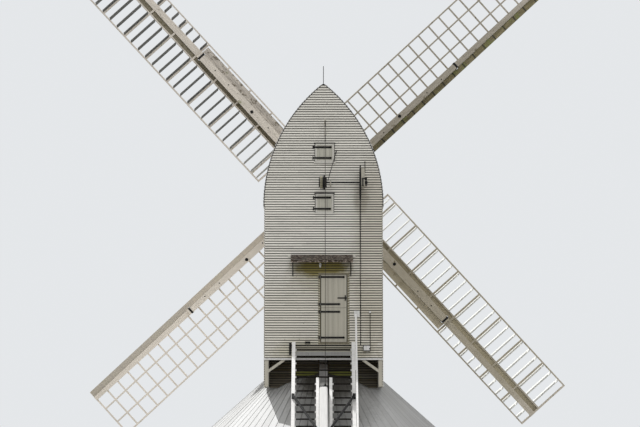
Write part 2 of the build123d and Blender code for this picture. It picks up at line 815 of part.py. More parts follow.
def striking_gear():
    y = TAIL_Y - GEAR_OUT
    z = SHAFT_TAIL_Z
    half = CHAIN_WHEEL_T / 2
    with BuildPart() as gear:
        with BuildSketch(Plane.YZ.offset(-GEAR_W / 2)):
            with Locations((y, z)):
                Circle(GEAR_R)
        extrude(amount=GEAR_W)
        rod((0, y, z), (CHAIN_WHEEL_X + GEAR_BOARD_W, y, z), GEAR_SHAFT_R)
        rod((0, TAIL_Y, z), (0, y, z), GEAR_ROD_R)
        with BuildSketch(Plane.YZ.offset(CHAIN_WHEEL_X - half)):
            with Locations((y, z)):
                Circle(CHAIN_WHEEL_R)
                Circle(CHAIN_WHEEL_R - CHAIN_WHEEL_RIM, mode=Mode.SUBTRACT)
                Circle(2 * GEAR_SHAFT_R)
            with Locations((y, z)):
                with PolarLocations(0, CHAIN_WHEEL_SPOKES // 2, angular_range=180):
                    Rectangle(2 * CHAIN_WHEEL_R - CHAIN_WHEEL_RIM, CHAIN_WHEEL_RIM)
        extrude(amount=CHAIN_WHEEL_T)
    write(gear.part, "striking_gear")


def tail_brackets():
    """The boards that carry the striking gear, and the braced arm that the front rope hangs from."""
    y = TAIL_Y - GEAR_OUT
    z = SHAFT_TAIL_Z
    half = CHAIN_WHEEL_T / 2
    arm_y = TAIL_Y - ROPE_TOP_OUT
    thick = ROPE_ARM / 2
    arm_z = ROPE_TOP_Z + ROPE_EYE_GAP
    with BuildPart() as bracket:
        low = CHAIN_WHEEL_X + half + RUNNING * 4
        block((low, y - 2 * GEAR_SHAFT_R, z - 3 * GEAR_SHAFT_R), (low + GEAR_BOARD_W, TAIL_Y, z + GEAR_BOARD_H))
        inner = GEAR_W
        block((inner, y - 2 * GEAR_SHAFT_R, z - 2 * GEAR_SHAFT_R),
              (inner + GEAR_SHAFT_R, TAIL_Y, z + 2 * GEAR_SHAFT_R))
        with BuildSketch(Plane.YZ.offset(0)):
            with Locations((y, z)):
                Circle(GEAR_SHAFT_R)
        extrude(amount=CHAIN_WHEEL_X + GEAR_BOARD_W + GEAR_W, mode=Mode.SUBTRACT)
        block((ROPE_X - thick, arm_y - ROPE_ARM, arm_z), (ROPE_X + thick, TAIL_Y, arm_z + ROPE_ARM))
        beam((ROPE_X, TAIL_Y - thick, arm_z - ROPE_TOP_OUT / 2), (ROPE_X, arm_y + ROPE_TOP_OUT / 4, arm_z + thick),
             thick, thick, (1, 0, 0))
    write(bracket.part, "tail_brackets")


def striking_chain():
    """One closed loop over the chain wheel, which narrows to a round foot."""
    y = TAIL_Y - GEAR_OUT
    z = SHAFT_TAIL_Z
    reach = CHAIN_WHEEL_R + CHAIN_R
    foot_z = CHAIN_FOOT_Z + CHAIN_FOOT_R
    tilt = atan2(reach - CHAIN_FOOT_R, z - foot_z)
    with BuildPart() as chain:
        with BuildLine() as path:
            top = [(CHAIN_WHEEL_X, y + side * reach * cos(tilt), z - reach * sin(tilt)) for side in (-1, 1)]
            foot = [(CHAIN_WHEEL_X, y + side * CHAIN_FOOT_R * cos(tilt), foot_z - CHAIN_FOOT_R * sin(tilt))
                    for side in (-1, 1)]
            ThreePointArc(top[0], (CHAIN_WHEEL_X, y, z + reach), top[1])
            Line(top[1], foot[1])
            ThreePointArc(foot[1], (CHAIN_WHEEL_X, y, foot_z - CHAIN_FOOT_R), foot[0])
            Line(foot[0], top[0])
        with BuildSketch(Plane(origin=path.wire() @ 0, z_dir=path.wire() % 0)):
            Circle(CHAIN_R)
        sweep()
    write(chain.part, "striking_chain")


def front_rope():
    arm_y = TAIL_Y - ROPE_TOP_OUT
    foot_z = pole_z(ROPE_FOOT_Y) + POLE_D / 2 / cos(radians(POLE_SLOPE))
    top = (ROPE_X, arm_y, ROPE_TOP_Z)
    foot = (ROPE_X, ROPE_FOOT_Y, foot_z + ROPE_R)
    with BuildPart() as rope:
        rod(top, foot, ROPE_R)
    write(rope.part, "front_rope")


def roof_rod():
    with BuildPart() as spike:
        rod((0, TAIL_Y - VERGE - ROD_R, ROD_FOOT_Z), (0, TAIL_Y - VERGE - ROD_R, ROD_TOP_Z), ROD_R)
    write(spike.part, "roof_rod")


# Ladder

def ladder_hanger():
    """The rod that the ladder hangs on, held between two lugs on the tail."""
    with BuildPart() as hanger:
        for side in (-1, 1):
            low, high = sorted((side * (LADDER_HALF + 10), side * (LADDER_HALF + 10 + LIFT_LUG / 2)))
            block((low, LIFT_Y - LIFT_LUG / 2, LIFT_Z - LIFT_LUG / 2), (high, TAIL_Y, LIFT_Z + LIFT_LUG / 2))
        rod((-LADDER_HALF - LIFT_LUG / 2, LIFT_Y, LIFT_Z), (LADDER_HALF + LIFT_LUG / 2, LIFT_Y, LIFT_Z),
            LIFT_ROD_R)
    write(hanger.part, "ladder_hanger")


def string_outline():
    """The side of an outer string: cut level at the ground and at the door sill."""
    side = STRING_D / 2
    head = TAIL_Y - LADDER_WALL_GAP
    across = side / sin(radians(LADDER_SLOPE))
    foot_y = LADDER_Y - LADDER_LINE_Z / LADDER_TAN
    top_y = LADDER_Y + (LADDER_TOP_Z - LADDER_LINE_Z) / LADDER_TAN - across
    Polygon((foot_y - across, 0), (top_y, LADDER_TOP_Z), (head, LADDER_TOP_Z),
            (head, ladder_z(head, -side)), (foot_y + across, 0), align=None)


def ladder_strings():
    side = STRING_D / 2
    with BuildPart() as strings:
        for x in (-LADDER_HALF, LADDER_HALF - STRING_W):
            with BuildSketch(Plane.YZ.offset(x)):
                string_outline()
            extrude(amount=STRING_W)
        with BuildSketch(Plane.YZ.offset(-LADDER_HALF)):
            with Locations((LIFT_Y, LIFT_Z)):
                Circle(LIFT_ROD_R + RUNNING)
        extrude(amount=2 * LADDER_HALF, mode=Mode.SUBTRACT)
        for x in (INNER_LEFT_X, INNER_RIGHT_X):
            with BuildSketch(Plane.YZ.offset(x - INNER_W / 2)):
                top_y = LADDER_Y + (SLOT_TOP_Z - LADDER_LINE_Z) / LADDER_TAN
                foot_y = LADDER_Y + (SLOT_FOOT_Z - LADDER_LINE_Z) / LADDER_TAN
                across = side / sin(radians(LADDER_SLOPE))
                Polygon((foot_y - across, SLOT_FOOT_Z), (top_y - across, SLOT_TOP_Z),
                        (top_y + across, SLOT_TOP_Z), (foot_y + across, SLOT_FOOT_Z), align=None)
            extrude(amount=INNER_W)
    write(strings.part, "ladder_strings")


def ladder_treads():
    inner = LADDER_HALF - STRING_W
    slot_low = INNER_LEFT_X - INNER_W / 2
    slot_high = INNER_RIGHT_X + INNER_W / 2
    count = int(TREAD_TOP_Z // TREAD_RISE) + 1
    with BuildPart() as treads:
        for step in range(count):
            top = TREAD_TOP_Z - step * TREAD_RISE
            middle = LADDER_Y + (top - TREAD_T / 2 - LADDER_LINE_Z) / LADDER_TAN
            near = middle - TREAD_D / 2
            far = middle + TREAD_D / 2
            if SLOT_FOOT_Z <= top and top - TREAD_T < SLOT_TOP_Z:
                block((-inner, near, top - TREAD_T), (slot_low, far, top))
                block((slot_high, near, top - TREAD_T), (inner, far, top))
            else:
                block((-inner, near, top - TREAD_T), (inner, far, top))
    write(treads.part, "ladder_treads")


def handrail():
    low_x = LADDER_HALF
    centre = low_x + RAIL / 2
    foot_y = LADDER_Y - LADDER_LINE_Z / LADDER_TAN
    rise = STRING_D / 2 + RAIL_H * cos(radians(LADDER_SLOPE))
    with BuildPart() as rail:
        beam((centre, RAIL_TOP_Y, ladder_z(RAIL_TOP_Y, rise)), (centre, foot_y, ladder_z(foot_y, rise)),
             RAIL, RAIL, (1, 0, 0))
        for post in range(RAIL_POSTS):
            y = RAIL_TOP_Y + (foot_y - RAIL_TOP_Y) * (post + 0.5) / RAIL_POSTS
            block((low_x, y - RAIL / 2, ladder_z(y)), (low_x + RAIL, y + RAIL / 2, ladder_z(y, rise)))
    write(rail.part, "handrail")


def ladder_stays():
    """The two iron stays that slant from the strings down to the sides of the tail pole."""
    face = STRING_D / 2
    y = LADDER_Y + (STAY_TOP_Z - LADDER_LINE_Z - face / cos(radians(LADDER_SLOPE))) / LADDER_TAN
    with BuildPart() as stays:
        for side in (-1, 1):
            top = (side * (LADDER_HALF - STRING_W / 2), y - STAY_R, STAY_TOP_Z + STAY_R)
            foot = (side * (POLE_W / 2 + STAY_POLE_GAP + STAY_R), STAY_FOOT_Y, STAY_FOOT_Z)
            rod(top, foot, STAY_R)
            beam((top[0], y + STAY_R, ladder_z(y + STAY_R, face + STAY_R)),
                 (top[0], y - 3 * STAY_R, ladder_z(y - 3 * STAY_R, face + STAY_R)), STAY_R * 3, STAY_R * 2,
                 (1, 0, 0))
    write(stays.part, "ladder_stays")


# Windshaft and sails

def windshaft():
    """The shaft, turned along its axis from the tail journal to the poll."""
    tilt = cos(radians(SHAFT_TILT))
    start_y = TAIL_JOURNAL_Y - TAIL_JOURNAL_LENGTH / 2
    stations = ((TAIL_JOURNAL_Y - TAIL_JOURNAL_LENGTH / 2, TAIL_JOURNAL_R),
                (TAIL_JOURNAL_Y + TAIL_JOURNAL_LENGTH / 2, TAIL_JOURNAL_R),
                (TAIL_JOURNAL_Y + TAIL_JOURNAL_LENGTH / 2, SHAFT_R * 0.8),
                (0, SHAFT_R), (NECK_Y - NECK_LENGTH / 2, SHAFT_R), (NECK_Y - NECK_LENGTH / 2, NECK_R),
                (NECK_Y + NECK_LENGTH / 2, NECK_R), (NECK_Y + NECK_LENGTH / 2, SHAFT_NOSE_R),
                (HUB_Y - POLL_LENGTH / 2 * tilt, SHAFT_NOSE_R))
    base = shaft_plane(start_y)
    profile = Plane(origin=base.origin, x_dir=base.x_dir, z_dir=-base.y_dir)
    with BuildPart() as shaft:
        with BuildSketch(profile):
            outline = [(radius, (y - start_y) / tilt) for y, radius in stations]
            length = outline[-1][1]
            Polygon((0, 0), *outline, (0, length), align=None)
        revolve(axis=Axis(base.origin, base.z_dir))
    write(shaft.part, "windshaft")


def sail_plane(turn):
    """The plane of one sail: x out along its whip, y to its trailing side, z back towards the buck."""
    tilt = radians(SHAFT_TILT)
    angle = radians(SAIL_ANGLE + turn)
    outward = (cos(angle), -sin(tilt) * sin(angle), cos(tilt) * sin(angle))
    return Plane(origin=(0, HUB_Y, shaft_z(HUB_Y)), x_dir=outward, z_dir=(0, -cos(tilt), -sin(tilt)))


def placed(piece, turn):
    """A piece modelled flat in the sail's own frame, put on its stock."""
    return piece.moved(sail_plane(turn).location)


def poll_end():
    half = POLL / 2
    deep = POLL_LENGTH / 2
    with BuildPart() as poll:
        block((-half, -half, -deep), (half, half, deep))
        chamfer(poll.edges().filter_by(Axis.Z), length=POLL / 10)
        stock_room(COMMON_STOCK_W, COMMON_STOCK_W0, (POLL, 0))
        stock_room(SPRING_STOCK_W, SPRING_STOCK_W0, (0, POLL))
    write(placed(poll.part, 0), "poll_end")


def stock_room(width, level, reach):
    """Cut the mortise of one stock through the poll."""
    across = width / 2
    long_x, long_y = reach
    low = (-max(long_x, across), -max(long_y, across), level - STOCK_DEPTH / 2)
    high = (max(long_x, across), max(long_y, across), level + STOCK_DEPTH / 2)
    cut_block(low, high)


def stock(width, level, turn, name):
    """One stock through the poll, straight there and tapering on its back towards both ends."""
    straight = POLL / 2
    tip = width * STOCK_TIP_SHARE
    front = level - STOCK_DEPTH / 2
    with BuildPart() as timber:
        block((-straight, -width / 2, front), (straight, width / 2, front + STOCK_DEPTH))
        for side in (-1, 1):
            with BuildSketch(Plane.YZ.offset(side * straight)):
                with Locations((0, level)):
                    Rectangle(width, STOCK_DEPTH)
            with BuildSketch(Plane.YZ.offset(side * STOCK_R)):
                depth = STOCK_DEPTH * STOCK_TIP_SHARE
                with Locations((0, front + depth / 2)):
                    Rectangle(tip, depth)
            loft()
    write(placed(timber.part, turn), name)


def stock_size(radius):
    """The share of a stock's full width and depth that is left at a radius."""
    return 1 - (1 - STOCK_TIP_SHARE) * (radius - POLL / 2) / (STOCK_R - POLL / 2)


def whip_size(radius):
    """The share of a whip's full width and depth that is left at a radius."""
    return 1 - (1 - WHIP_TIP_SHARE) * (radius - WHIP_HEEL_R) / (WHIP_END_R - WHIP_HEEL_R)


def weather(radius):
    """How far the sail surface slants back for each unit towards its trailing side."""
    share = (radius - HEEL_R) / (TIP_R - HEEL_R)
    return WEATHER_HEEL_T + (WEATHER_TIP_T - WEATHER_HEEL_T) * share


def on_sail(radius, across, level):
    """A point of the twisted sail surface."""
    return (radius, across, level + across * weather(radius))


def sail_bar(radius, low, high, level, width, thick):
    """A bar across the sail at one radius."""
    beam(on_sail(radius, low, level), on_sail(radius, high, level), width, thick, (1, 0, 0))


def sail_lath(across, level, width, thick, start=HEEL_R, end=TIP_R):
    """A straight lath along the sail at one distance from the whip."""
    slant = weather((start + end) / 2)
    beam(on_sail(start, across, level), on_sail(end, across, level), width, thick, (0, 1, slant))


def whip(width, level):
    """The long timber that carries a sail, tapering towards the tip."""
    tip = width * WHIP_TIP_SHARE
    with BuildSketch(Plane.YZ.offset(WHIP_HEEL_R)) as heel_end:
        with Locations((0, level)):
            Rectangle(width, WHIP_DEPTH)
    with BuildSketch(Plane.YZ.offset(WHIP_END_R)) as tip_end:
        depth = WHIP_DEPTH * WHIP_TIP_SHARE
        with Locations((0, level + (WHIP_DEPTH - depth) / 2)):
            Rectangle(tip, depth)
    loft([heel_end.sketch, tip_end.sketch])


def common_sails():
    level = COMMON_WHIP_W0
    pitch = (TIP_R - HEEL_R) / COMMON_SPACES
    with BuildPart() as lattice:
        whip(COMMON_STOCK_W, level)
        for bar in range(COMMON_SPACES + 1):
            sail_bar(HEEL_R + bar * pitch, -COMMON_LEAD, COMMON_HEM, level, COMMON_BAR_W, COMMON_BAR_T)
        for across in COMMON_UPLONGS:
            sail_lath(across, level, COMMON_LATH_W, LATH_T)
        sail_lath(COMMON_HEM, level, COMMON_LATH_W, LATH_T + 8, end=TIP_R + COMMON_BAR_W / 2,
                  start=HEEL_R - COMMON_BAR_W / 2)
    write(placed(lattice.part, 0), "common_sail_upper")
    write(placed(lattice.part, 180), "common_sail_lower")


def spring_bars():
    """Radii of the fixed bars across a spring sail."""
    bays = [HEEL_R + SPRING_HEEL_BAY + bay * SPRING_BAY for bay in range(SPRING_BAYS + 1)]
    return [HEEL_R] + bays


def spring_sails():
    level = SPRING_WHIP_W0
    bars = spring_bars()
    with BuildPart() as frame_work:
        whip(SPRING_STOCK_W, level)
        for radius in bars:
            sail_bar(radius, -SPRING_LEAD, SPRING_HEM, level, SPRING_BAR_W, SPRING_BAR_T)
        sail_lath(SPRING_HEM, level, SPRING_LATH_W, SPRING_BAR_T + 6, start=HEEL_R - SPRING_BAR_W / 2,
                  end=TIP_R + SPRING_BAR_W / 2)
        sail_lath(SPRING_INNER, level, SPRING_LATH_W, SPRING_BAR_T + 6)
        sail_lath(-SPRING_LEAD, level, SPRING_LATH_W, LATH_T, start=HEEL_R - SPRING_BAR_W / 2,
                  end=TIP_R + SPRING_BAR_W / 2)
    write(placed(frame_work.part, 90), "spring_sail_upper")
    write(placed(frame_work.part, -90), "spring_sail_lower")


def shutter(radius, low, high, level):
    """One open shutter, standing square to the sail on its two pins."""
    start = on_sail(radius, low + SHUTTER_END_GAP, level)
    end = on_sail(radius, high - SHUTTER_END_GAP, level)
    tilt = radians(SHUTTER_TILT)
    beam(start, end, SHUTTER_T, SHUTTER_CHORD, (cos(tilt), 0, -sin(tilt)))
    beam(on_sail(radius, low + SHUTTER_PIN_GAP, level), on_sail(radius, high - SHUTTER_PIN_GAP, level),
         SHUTTER_PIN, SHUTTER_PIN, (1, 0, 0))


def spring_shutters():
    level = SPRING_WHIP_W0
    bars = spring_bars()
    inner = SPRING_INNER + SPRING_LATH_W / 2
    outer = SPRING_HEM - SPRING_LATH_W / 2
    pitch = SPRING_BAY / SHUTTERS_A_BAY
    lead_from = len(bars) - 1 - SPRING_LEAD_BAYS
    with BuildPart() as leaves:
        shutter(HEEL_R + SHUTTER_FIRST * 2, inner, outer, level)
        for bay, radius in enumerate(bars[1:-1], start=1):
            for place in range(SHUTTERS_A_BAY):
                at = radius + SHUTTER_FIRST + place * pitch
                shutter(at, inner, outer, level)
                if bay >= lead_from:
                    edge = SPRING_STOCK_W / 2 * whip_size(at - SHUTTER_PIN)
                    shutter(at, -SPRING_LEAD + SPRING_LATH_W / 2, -edge, level)
    with BuildPart() as both:
        for turn in (90, -90):
            add(placed(leaves.part, turn))
    write(both.part, "spring_shutters")


def side_boards(side, far, width, level, stand, end):
    """Boards laid on the bars along one side of a whip, from its tapering edge to a line along the sail."""
    sections = []
    for radius in (HEEL_R, (HEEL_R + end) / 2, end):
        slant = atan2(weather(radius), 1)
        near = width / 2 * whip_size(radius) + BOARD_GAP + BOARD_T / 2 * sin(slant)
        middle = on_sail(radius, side * (near + far) / 2, level + stand / cos(slant))
        with BuildSketch(Plane.YZ.offset(radius)) as section:
            with Locations(Location((middle[1], middle[2]), degrees(slant))):
                Rectangle((far - near) / cos(slant), BOARD_T)
        sections.append(section.sketch)
    reach = width / 2 * max(stock_size(STRAP_R), whip_size(STRAP_R)) + 2 * STRAP_T
    low, high = sorted((0, side * reach))
    with BuildPart() as plank:
        loft(sections, ruled=True)
        cut_block((STRAP_R - STRAP_GAP, low, level - STOCK_DEPTH),
                  (STRAP_R + STRAP_W + STRAP_GAP, high, level + STOCK_DEPTH))
    return plank.part


def boards():
    stand = (COMMON_BAR_T + BOARD_T) / 2 + BOARD_GAP
    leading = side_boards(-1, COMMON_LEAD, COMMON_STOCK_W, COMMON_WHIP_W0, stand, TIP_R)
    with BuildPart() as common:
        for turn in (0, 180):
            add(placed(leading, turn))
    write(common.part, "common_boards")
    stand = (SPRING_BAR_T + BOARD_T) / 2 + BOARD_GAP
    far = SPRING_STOCK_W / 2 + SPRING_BOARD
    leading = side_boards(-1, far, SPRING_STOCK_W, SPRING_WHIP_W0, stand, STOCK_R)
    far = SPRING_INNER - SPRING_LATH_W / 2 - BOARD_GAP
    trailing = side_boards(1, far, SPRING_STOCK_W, SPRING_WHIP_W0, -stand, TIP_R)
    with BuildPart() as spring:
        for turn in (90, -90):
            add(placed(leading, turn))
            add(placed(trailing, turn))
    write(spring.part, "spring_boards")


def strap(width, level, radius):
    """One iron strap round a stock and its whip."""
    side = width / 2 * max(stock_size(radius), whip_size(radius))
    joint = level - STOCK_DEPTH / 2
    front = joint - WHIP_DEPTH * whip_size(radius)
    back = joint + STOCK_DEPTH * stock_size(radius)
    end = radius + STRAP_W
    with BuildPart() as ring:
        block((radius, -side - STRAP_T, front - STRAP_T), (end, side + STRAP_T, back + STRAP_T))
        cut_block((radius, -side, front), (end, side, back))
    return ring.part


def stock_straps():
    """Iron straps that clamp each whip to its stock."""
    rings = []
    for width, level, turns in ((COMMON_STOCK_W, COMMON_STOCK_W0, (0, 180)),
                                (SPRING_STOCK_W, SPRING_STOCK_W0, (90, -90))):
        ring = strap(width, level, STRAP_R)
        rings += [placed(ring, turn) for turn in turns]
    with BuildPart() as straps:
        add(rings)
    write(straps.part, "stock_straps")


os.makedirs("parts", exist_ok=True)
roundhouse_wall()
roundhouse_roof()
roundhouse_floor()
roundhouse_door()
piers()
cross_trees()
quarter_bars()
main_post()
tail_wall()
side_walls()
breast_wall()
roof()
tail_skirt()
corner_posts()
floors()
frame()
shaft_beams()
tail_pole()
door_frame()
doors()
hatches()
porch_hood()
striking_gear()
tail_brackets()
striking_chain()
front_rope()
roof_rod()
ladder_hanger()
ladder_strings()
ladder_treads()
handrail()
ladder_stays()
windshaft()
poll_end()
stock(COMMON_STOCK_W, COMMON_STOCK_W0, 0, "common_stock")
stock(SPRING_STOCK_W, SPRING_STOCK_W0, 90, "spring_stock")
common_sails()
spring_sails()
spring_shutters()
boards()
stock_straps()
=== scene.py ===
"""A white weatherboarded post mill: its boards, bricks, shingles, chains and bolts, and its finishes.

The packed CAD model is a fixed frame and everything here is built around it, in metres. +Z is up, the tail
with its door faces -Y, and the sails are on the +Y side.
"""
from math import acos, asin, ceil, cos, pi, radians, sin, sqrt, tan

import bmesh
import bpy
from bpy.props import FloatProperty, FloatVectorProperty, IntProperty, PointerProperty
from mathutils import Matrix, Vector


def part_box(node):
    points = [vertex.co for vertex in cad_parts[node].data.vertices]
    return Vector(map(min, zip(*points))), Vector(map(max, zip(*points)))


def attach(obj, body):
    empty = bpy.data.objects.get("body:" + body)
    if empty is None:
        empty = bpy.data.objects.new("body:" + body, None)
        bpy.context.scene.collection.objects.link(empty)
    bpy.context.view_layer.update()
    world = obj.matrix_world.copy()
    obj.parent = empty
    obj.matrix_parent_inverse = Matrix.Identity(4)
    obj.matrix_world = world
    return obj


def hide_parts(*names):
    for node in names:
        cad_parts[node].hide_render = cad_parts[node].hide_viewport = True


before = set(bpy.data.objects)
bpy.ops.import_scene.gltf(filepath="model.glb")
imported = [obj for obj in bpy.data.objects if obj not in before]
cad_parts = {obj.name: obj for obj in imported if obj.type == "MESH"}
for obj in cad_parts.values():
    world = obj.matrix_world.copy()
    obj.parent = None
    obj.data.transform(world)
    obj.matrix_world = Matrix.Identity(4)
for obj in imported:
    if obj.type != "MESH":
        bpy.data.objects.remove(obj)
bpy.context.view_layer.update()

bl_info = {
    "name": "Post Mill Dressing",
    "version": (1, 0, 0),
    "blender": (4, 5, 0),
    "location": "View3D > Sidebar > Post Mill",
    "description": "Boards, bricks, shingles, chains, bolts and finishes for a white post mill",
    "category": "Object",
}

# The frame's sizes, in metres, as the CAD source has them
HALF = 1.62
TAIL_Y = -2.6
BREAST_Y = 2.3
WALL_FOOT = 3.77
TAIL_FOOT = 4.5
PLATE_Z = 8.79
PEAK_Z = 12.2
ROOF_OUT = 0.03
ROOF_THICK = 0.06
ROOF_OVER = 0.034
SKIRT_Y = -1.61
SKIRT_TOP = 4.64
HOUSE_R = 3.3
EAVES_R = 3.65
EAVES_Z = 2.28
TOP_RING_R = 1.4
HOUSE_DOOR_HALF = 0.48
HOUSE_DOOR_TOP = 2.04
HOUSE_PITCH = radians(41.5)
SHAFT_TILT = radians(7)
SHAFT_TAIL_Z = 9.349
SHAFT_HOLE_R = 0.33
GEAR_Y = TAIL_Y - 0.5
HUB = Vector((0, 3.15, 9.349 + 5.75 * tan(radians(7))))
SAIL_ANGLE = radians(42.8)
STOCK_DEPTH = 0.26
STOCK_HEEL_R = 0.29
STOCK_TIP_R = 5.6
STOCK_LEVEL = 0.17
POLE_SLOPE = radians(20)
POLE_HEAD_Y = -1.35
POLE_HEAD_Z = 4.46
POLE_BANDS = (-3.66, -8.55)
POLE_HALF = 0.138
POLE_TOP = 4.545
LADDER_SLOPE = radians(52)
LADDER_INNER = 0.863 - 0.095
LADDER_HEAD_Y = -2.75
LADDER_HEAD_Z = 4.86
TREAD_TOP = 4.78
TREAD_RISE = 0.192
TREAD_THICK = 0.036
TREAD_DEPTH = 0.19
POLE_GAP_LEFT = -0.161 - 0.04
POLE_GAP_RIGHT = 0.195 + 0.04
POLE_GAP_FOOT = 2.56
POLE_GAP_TOP = 3.976

# Openings of the tail wall: the door's left edge, foot, width and height, and each hatch's middle, foot,
# width and height
DOOR = (-0.085, 4.98, 0.742, 1.87)
DOOR_SPLIT = 5.93
DOOR_REVEAL = 0.012
UPPER_HATCH = (0.032, 9.99, 0.536, 0.52)
LOWER_HATCH = (0.03, 8.56, 0.506, 0.54)

# The straps of the door's leaves: height and length, and half the height of the notch in the wall boards
STRAPS = {"upper_door": ((6.78, 0.7), (6.03, 0.57)), "lower_door": ((5.82, 0.57), (5.11, 0.7))}
HINGE_X = DOOR[0] - 0.03
HINGE_NOTCH = 0.05

# The porch hood: middle, top, width, reach and pitch
HOOD = (-0.045, 7.395, 1.71, 0.45, radians(23.5))

# The striking chain: its wheel's middle and radius, and the radius and middle of its lower turn
CHAIN_WHEEL = Vector((1.012, GEAR_Y, SHAFT_TAIL_Z))
CHAIN_WHEEL_R = 0.472
CHAIN_FOOT_R = 0.13
CHAIN_FOOT_Z = 5.01

# Bevels, the rope's radius, and how far behind the boards' face the fittings of the tail wall start
IRON_BEVEL = 0.0015
WOOD_BEVEL = 0.004
ROPE_R = 0.007
BACKING = 0.008
HATCH_BACKING = 0.005

# How far boards keep in from the roof's edge and over the roundhouse roof, and the width of a roundhouse
# board on its grain map
EDGE_INSET = 0.012
SIDE_CLEAR = 0.15
SKIRT_CLEAR = 0.075
HOUSE_BOARD_MAP = 0.25

# Worked out from those
ARCH_W = HALF + ROOF_OUT
ARCH_H = PEAK_Z - PLATE_Z
ARCH_SHIFT = (ARCH_H ** 2 - ARCH_W ** 2) / (2 * ARCH_W)
ARCH_R = ARCH_W + ARCH_SHIFT
ARCH_END = acos(ARCH_SHIFT / ARCH_R)
HOUSE_APEX = EAVES_Z + EAVES_R * tan(HOUSE_PITCH)
SHAFT_BREAST_Z = SHAFT_TAIL_Z + (BREAST_Y - TAIL_Y) * tan(SHAFT_TILT)
TAIL_OPENINGS = [(DOOR[0] + DOOR[2] / 2, DOOR[1] - DOOR_REVEAL, DOOR[2] + 2 * DOOR_REVEAL,
                  DOOR[3] + 2 * DOOR_REVEAL), UPPER_HATCH, LOWER_HATCH]
TAIL_OPENINGS += [(HINGE_X, level - HINGE_NOTCH, 0.09, 2 * HINGE_NOTCH)
                  for straps in STRAPS.values() for level, _ in straps]
TAIL_CUTS = [PLATE_Z] + [level for _, foot, _, tall in TAIL_OPENINGS for level in (foot, foot + tall)]


def metres(name, default, low, high, description):
    """The setting of a size in metres."""
    return FloatProperty(name=name, description=description, default=default, min=low, max=high,
                         unit="LENGTH")


def whole(name, default, low, high, description):
    """The setting of a whole number."""
    return IntProperty(name=name, description=description, default=default, min=low, max=high)


def tone(name, default, description):
    """The setting of a colour."""
    return FloatVectorProperty(name=name, description=description, subtype="COLOR", size=3, min=0, max=1,
                               default=default)


class WeatherboardSizes(bpy.types.PropertyGroup):
    """Sizes of the lapped boards on the walls and roof of the buck."""

    exposure: metres("Exposure", 0.0685, 0.04, 0.4, "Height of each board that shows")
    lap: metres("Lap", 0.012, 0, 0.1, "How far each board runs up behind the next")
    butt: metres("Butt stand", 0.027, 0.005, 0.06, "How far a board's lower edge stands off the wall")
    head: metres("Head stand", 0.005, 0.002, 0.04, "How far a board's upper edge stands off the wall")
    thickness: metres("Thickness", 0.014, 0.004, 0.04, "Thickness of a board")
    roof_exposure: metres("Roof exposure", 0.1, 0.05, 0.4, "Width of each roof board that shows")
    seed: whole("Tint seed", 7, 0, 1000, "Seed of the boards' random tints")


class RoundhouseSizes(bpy.types.PropertyGroup):
    """Sizes of the roundhouse's roof boards and bricks."""

    boards: whole("Roof boards", 92, 24, 200, "Boards round the conical roof")
    board_thickness: metres("Board thickness", 0.02, 0.005, 0.05, "Thickness of a roof board")
    brick_length: metres("Brick length", 0.215, 0.1, 0.4, "Length of a brick's face")
    brick_height: metres("Brick height", 0.065, 0.03, 0.15, "Height of a brick's face")
    joint: metres("Mortar joint", 0.01, 0.002, 0.03, "Width of the mortar between bricks")


class FittingSizes(bpy.types.PropertyGroup):
    """Sizes of the small ironwork and of the hood's shingles."""

    bolt_radius: metres("Bolt radius", 0.02, 0.004, 0.05, "Radius of a bolt's head")
    link_pitch: metres("Link pitch", 0.032, 0.01, 0.1, "Distance from link to link in the chains")
    link_wire: metres("Link wire", 0.0042, 0.001, 0.02, "Radius of the wire of a link")
    shingle_width: metres("Shingle width", 0.105, 0.03, 0.3, "Width of a shingle on the hood")
    shingle_rows: whole("Shingle rows", 5, 2, 12, "Rows of shingles on the hood")


class MillColours(bpy.types.PropertyGroup):
    """Colours of the mill's finishes."""

    board_paint: tone("Board paint", (0.92, 0.89, 0.81), "White paint of the weatherboards")
    roof_paint: tone("Roof paint", (0.7, 0.7, 0.69), "White paint of the roofs")
    timber_paint: tone("Timber paint", (0.7, 0.69, 0.67), "White paint of posts and strings")
    sail_paint: tone("Sail paint", (0.7, 0.64, 0.56), "Aged paint of the sails' timber")
    shutter_paint: tone("Shutter paint", (0.76, 0.76, 0.73), "White paint of the shutters")
    # The grime colour also paints the shade under the board laps.
    grime: tone("Grime", (0.1, 0.095, 0.085), "Grey dirt in laps and corners")
    bare_wood: tone("Bare wood", (0.2, 0.17, 0.13), "Grey wood where the paint is gone")
    algae: tone("Algae", (0.17, 0.19, 0.06), "Green growth on damp timber")
    rust: tone("Rust", (0.22, 0.08, 0.03), "Rust and its runs")
    iron: tone("Iron", (0.03, 0.029, 0.028), "Black iron")
    oak: tone("Oak", (0.27, 0.18, 0.11), "Unpainted oak of the trestle and frame")
    # The tread colour also paints the shade on the treads' front edges and undersides.
    tread: tone("Treads", (0.028, 0.024, 0.02), "Dark weathered wood of the treads")
    shingle: tone("Shingles", (0.07, 0.05, 0.036), "Dark brown wood of the shingles")
    limewash: tone("Limewash", (0.68, 0.67, 0.63), "Limewash of the roundhouse bricks")
    brick: tone("Brick", (0.3, 0.11, 0.07), "Red brick of the piers")
    paving: tone("Paving", (0.24, 0.18, 0.14), "Brick paving of the roundhouse floor")


# Node helpers

def feed(tree, target, inputs):
    """Set or join a node's inputs by name or place. A node stands for its first output."""
    for key, value in inputs.items():
        for item in value if isinstance(value, list) else [value]:
            if isinstance(item, bpy.types.Node):
                item = item.outputs[0]
            if isinstance(item, bpy.types.NodeSocket):
                tree.links.new(item, target.inputs[key])
            else:
                target.inputs[key].default_value = item


def node(tree, kind, inputs=None, **settings):
    """Add a node, set its settings, and set or join its inputs."""
    made = tree.nodes.new(kind)
    for key, value in settings.items():
        setattr(made, key, value)
    feed(tree, made, inputs or {})
    return made


def math(tree, operation, *values):
    return node(tree, "ShaderNodeMath", dict(enumerate(values)), operation=operation)


